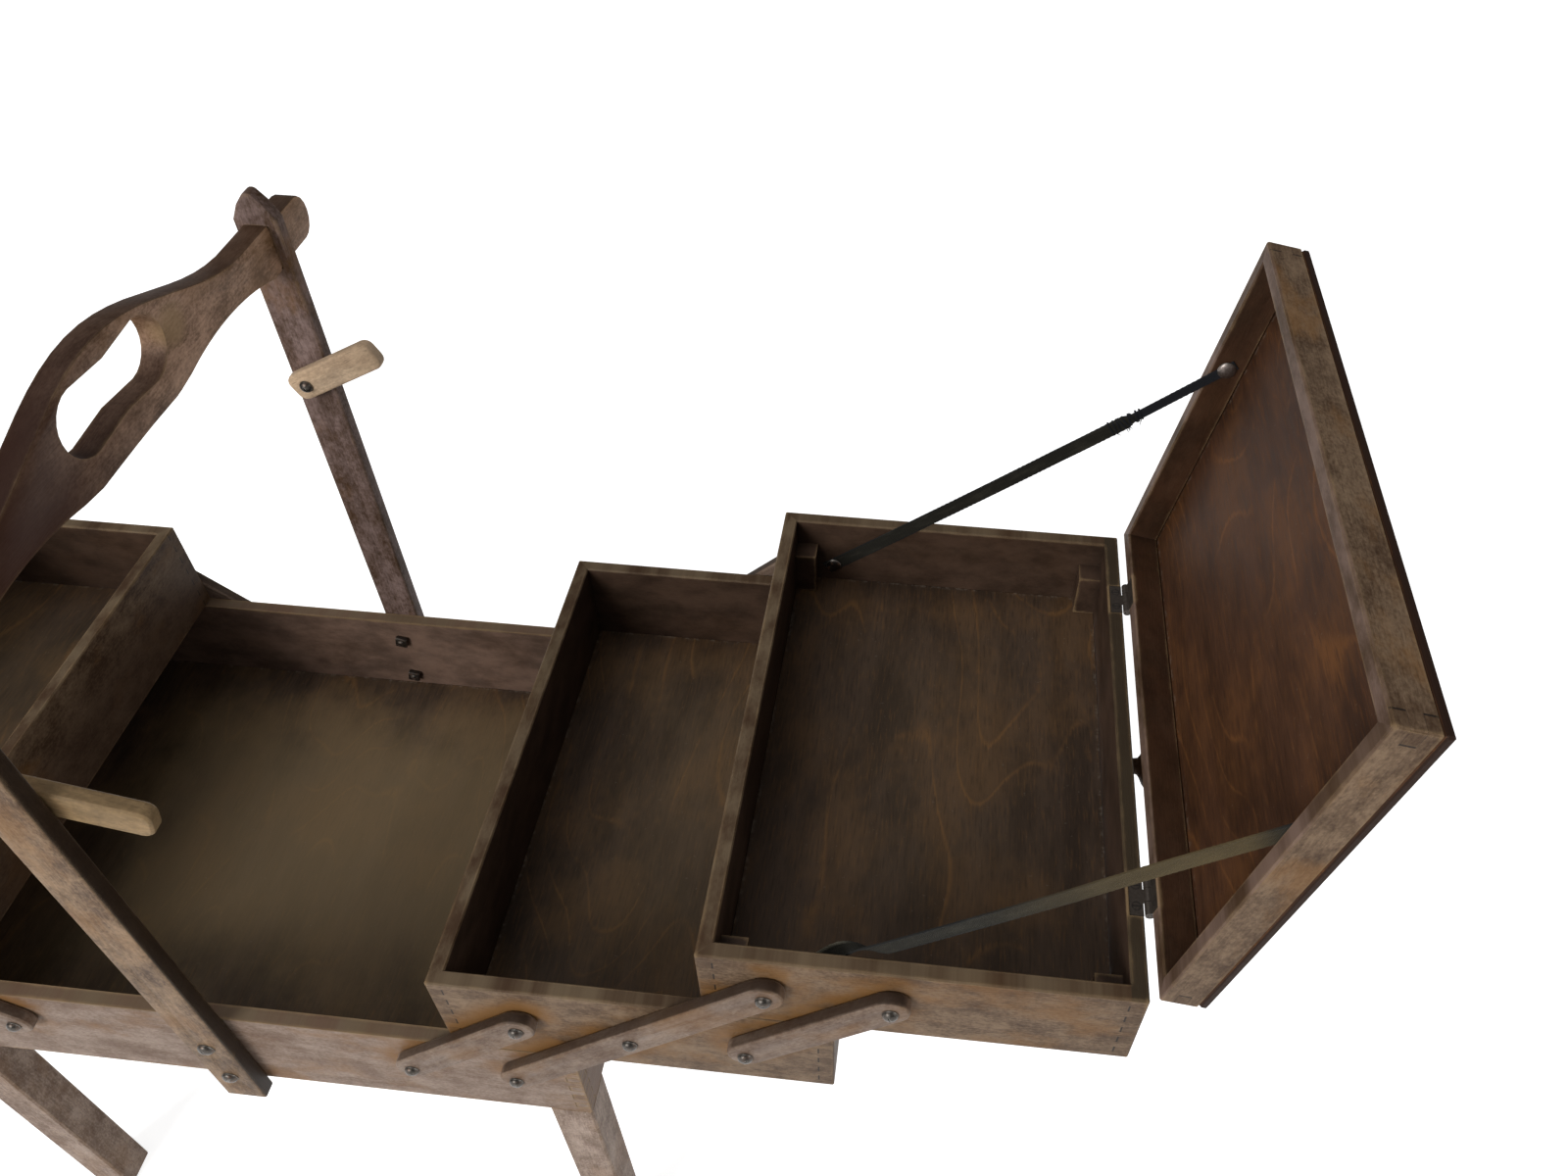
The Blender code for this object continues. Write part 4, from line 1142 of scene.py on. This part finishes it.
def mend_tape(tape, start, end, out, face, look, rng):
    """Sew the tape to its newer end with wraps of thread and leave loose ends."""
    line = end - start
    unit = line.normalized()
    cross = Vector((-unit.y, unit.x))
    extra = []
    for k in range(9):
        t = 0.745 + 0.0085 * k
        centre = start + line * t
        sag = -TAPE_SAG * math.sin(t * math.pi)
        alone()
        bpy.ops.mesh.primitive_torus_add(
            major_segments=24, minor_segments=6, major_radius=0.0035, minor_radius=0.0005)
        wrap = bpy.context.object
        wide = 1.32 - 0.04 * k
        flatten = Matrix.Diagonal((0.36, wide, 1.0, 1.0))
        lean = Matrix.Rotation(rng.uniform(-0.25, 0.25), 4, "X")
        seat = Matrix((
            (0.0, cross.x, unit.x, centre.x),
            (out, 0.0, 0.0, out * (face - 0.0001)),
            (0.0, cross.y, unit.y, centre.y + sag),
            (0.0, 0.0, 0.0, 1.0),
        ))
        wrap.matrix_world = seat @ lean @ flatten
        settle(wrap)
        extra.append(wrap)
    for k in range(7):
        t = 0.735 + rng.uniform(0.0, 0.09)
        centre = start + line * t - cross * (look.width * 0.42)
        alone()
        bpy.ops.mesh.primitive_cone_add(
            vertices=5, radius1=0.00035, radius2=0.00012, depth=rng.uniform(0.003, 0.006))
        end_bit = bpy.context.object
        swing = math.atan2(-cross.x, -cross.y) + rng.uniform(-0.7, 0.7)
        end_bit.matrix_world = (
            Matrix.Translation((centre.x, out * (face - rng.uniform(-0.0002, 0.0012)), centre.y - 0.0025))
            @ Matrix.Rotation(swing, 4, "Y"))
        settle(end_bit)
        extra.append(end_bit)
    strip = len(tape.data.loops)
    alone(tape)
    for bit in extra:
        bit.select_set(True)
    bpy.ops.object.join()
    layer = tape.data.uv_layers.active
    seen = np.zeros(len(layer.data) * 2, np.float32)
    layer.data.foreach_get("uv", seen)
    seen[strip * 2:] = np.tile((0.95, 0.5), len(layer.data) - strip)
    layer.data.foreach_set("uv", seen)


class SEWBOX_OT_tacks(bpy.types.Operator):
    """Set the round tacks that hold the tapes to the trays and lids"""
    bl_idname = "sewbox.tacks"
    bl_label = "Tape Tacks"

    def execute(self, context):
        look = context.scene.sewing_box.iron
        tape = context.scene.sewing_box.tape
        pale = iron_finish("tack_metal", look, 0.15, look.tack)
        rusty = iron_finish("tack_rust", look, 0.9)
        head = domed_head("tack_pattern", look.tack_r, look.tack_h, 0.0)
        for side, sign in SIDES:
            start, end = tape_ends(side, sign, tape)
            face = HALF_D - WALL - TAPE_GAP - tape.thick - RUN_GAP
            for word, point, body, mat in (
                    ("tray", start, side + "_top_tray", rusty), ("lid", end, side + "_lid", pale)):
                spots = [((point.x, out * face, point.y), (0.0, -out, 0.0), 0.0) for _, out in ENDS]
                tacks = copies(head, "tacks_%s_%s" % (side, word), spots)
                paint(tacks, mat)
                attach(tacks, body)
        drop(head)
        return {"FINISHED"}


class SEWBOX_OT_stage(bpy.types.Operator):
    """Set up the pale floor, the soft lamps and the camera"""
    bl_idname = "sewbox.stage"
    bl_label = "Stage"

    def execute(self, context):
        look = context.scene.sewing_box.stage
        scene = context.scene
        scene.view_settings.view_transform = "Standard"
        alone()
        bpy.ops.mesh.primitive_plane_add(size=14.0, location=(0.0, 0.0, -0.0005))
        floor = settle(context.object)
        floor.name = "studio_floor"
        paint(floor, floor_finish(look))

        world = bpy.data.worlds.new("room")
        scene.world = world
        world.use_nodes = True
        tree = world.node_tree
        back = tree.nodes["Background"]
        path = tree.nodes.new("ShaderNodeLightPath")
        level = tree.nodes.new("ShaderNodeMapRange")
        level.inputs["To Min"].default_value = look.room
        level.inputs["To Max"].default_value = 1.15
        tree.links.new(path.outputs["Is Camera Ray"], level.inputs["Value"])
        tree.links.new(level.outputs[0], back.inputs["Strength"])
        back.inputs["Color"].default_value = (0.97, 0.98, 1.0, 1.0)

        aim = Vector((0.15, 0.0, 0.36))
        lamps = (
            ("key_lamp", (-1.10, -2.30, 1.70), 1.3, 1.0),
            ("top_lamp", (-0.60, 0.10, 2.70), 1.8, 0.22),
            ("side_lamp", (2.40, -0.60, 1.30), 1.2, 0.18),
        )
        for name, place, size, share in lamps:
            data = bpy.data.lights.new(name, "AREA")
            data.energy = look.key * share
            data.shape = "SQUARE"
            data.size = size
            lamp = bpy.data.objects.new(name, data)
            scene.collection.objects.link(lamp)
            lamp.location = place
            lamp.rotation_euler = (aim - Vector(place)).to_track_quat("-Z", "Y").to_euler()

        data = bpy.data.cameras.new("camera")
        data.lens = look.lens
        data.sensor_width = 36.0
        data.shift_x, data.shift_y = look.shift
        data.clip_start = 0.01
        camera = bpy.data.objects.new("camera", data)
        scene.collection.objects.link(camera)
        forward = Vector(look.view).normalized()
        right = forward.cross(Vector(look.up)).normalized()
        up = right.cross(forward)
        turn = Matrix((right, up, -forward)).transposed()
        camera.matrix_world = Matrix.Translation(look.eye) @ turn.to_4x4()
        scene.camera = camera
        return {"FINISHED"}


def floor_finish(look):
    """Pale floor that keeps the box's shadow and shows white to the camera."""
    fin = Finish("studio_floor", 0.9)
    haze = fin.noise(fin.place, (2.0, 2.0, 2.0), 2.0, 0.5)
    fin.set("Base Color", fin.mix(fin.step(haze, 0.3, 0.7), toned(look.floor, 0.97), look.floor))
    fin.set("Emission Color", (1.0, 1.0, 1.0, 1.0))
    path = fin.add("LightPath")
    seen = fin.math("MAXIMUM", path.outputs["Is Camera Ray"], path.outputs["Is Glossy Ray"])
    seen = fin.math("MAXIMUM", seen, path.outputs["Is Transmission Ray"])
    fin.set("Emission Strength", fin.times(seen, look.white))
    return fin.mat


class SEWBOX_PT_panel(bpy.types.Panel):
    """Sidebar list of the box's pieces and settings"""
    bl_idname = "SEWBOX_PT_panel"
    bl_label = "Sewing Box"
    bl_space_type = "VIEW_3D"
    bl_region_type = "UI"
    bl_category = "Sewing Box"

    def draw(self, context):
        settings = context.scene.sewing_box
        for group in (settings.wood, settings.iron, settings.tape, settings.stage):
            column = self.layout.box().column()
            for key in group.__annotations__:
                column.prop(group, key)
        for operator in OPERATORS:
            self.layout.operator(operator.bl_idname)


OPERATORS = (
    SEWBOX_OT_stage,
    SEWBOX_OT_base,
    SEWBOX_OT_handle,
    SEWBOX_OT_trays,
    SEWBOX_OT_lids,
    SEWBOX_OT_arms,
    SEWBOX_OT_screws,
    SEWBOX_OT_bolts,
    SEWBOX_OT_hinges,
    SEWBOX_OT_knobs,
    SEWBOX_OT_tapes,
    SEWBOX_OT_tacks,
)
CLASSES = (WoodSettings, IronSettings, TapeSettings, StageSettings, BoxSettings, *OPERATORS, SEWBOX_PT_panel)


def register():
    """Make the settings, operators and panel known."""
    for cls in CLASSES:
        bpy.utils.register_class(cls)
    bpy.types.Scene.sewing_box = bpy.props.PointerProperty(type=BoxSettings)


def unregister():
    """Take them away again."""
    del bpy.types.Scene.sewing_box
    for cls in reversed(CLASSES):
        bpy.utils.unregister_class(cls)


def main():
    """Dress the frame piece by piece."""
    register()
    for operator in OPERATORS:
        group, name = operator.bl_idname.split(".")
        getattr(getattr(bpy.ops, group), name)()
    alone()


if __name__ == "__main__":
    main()
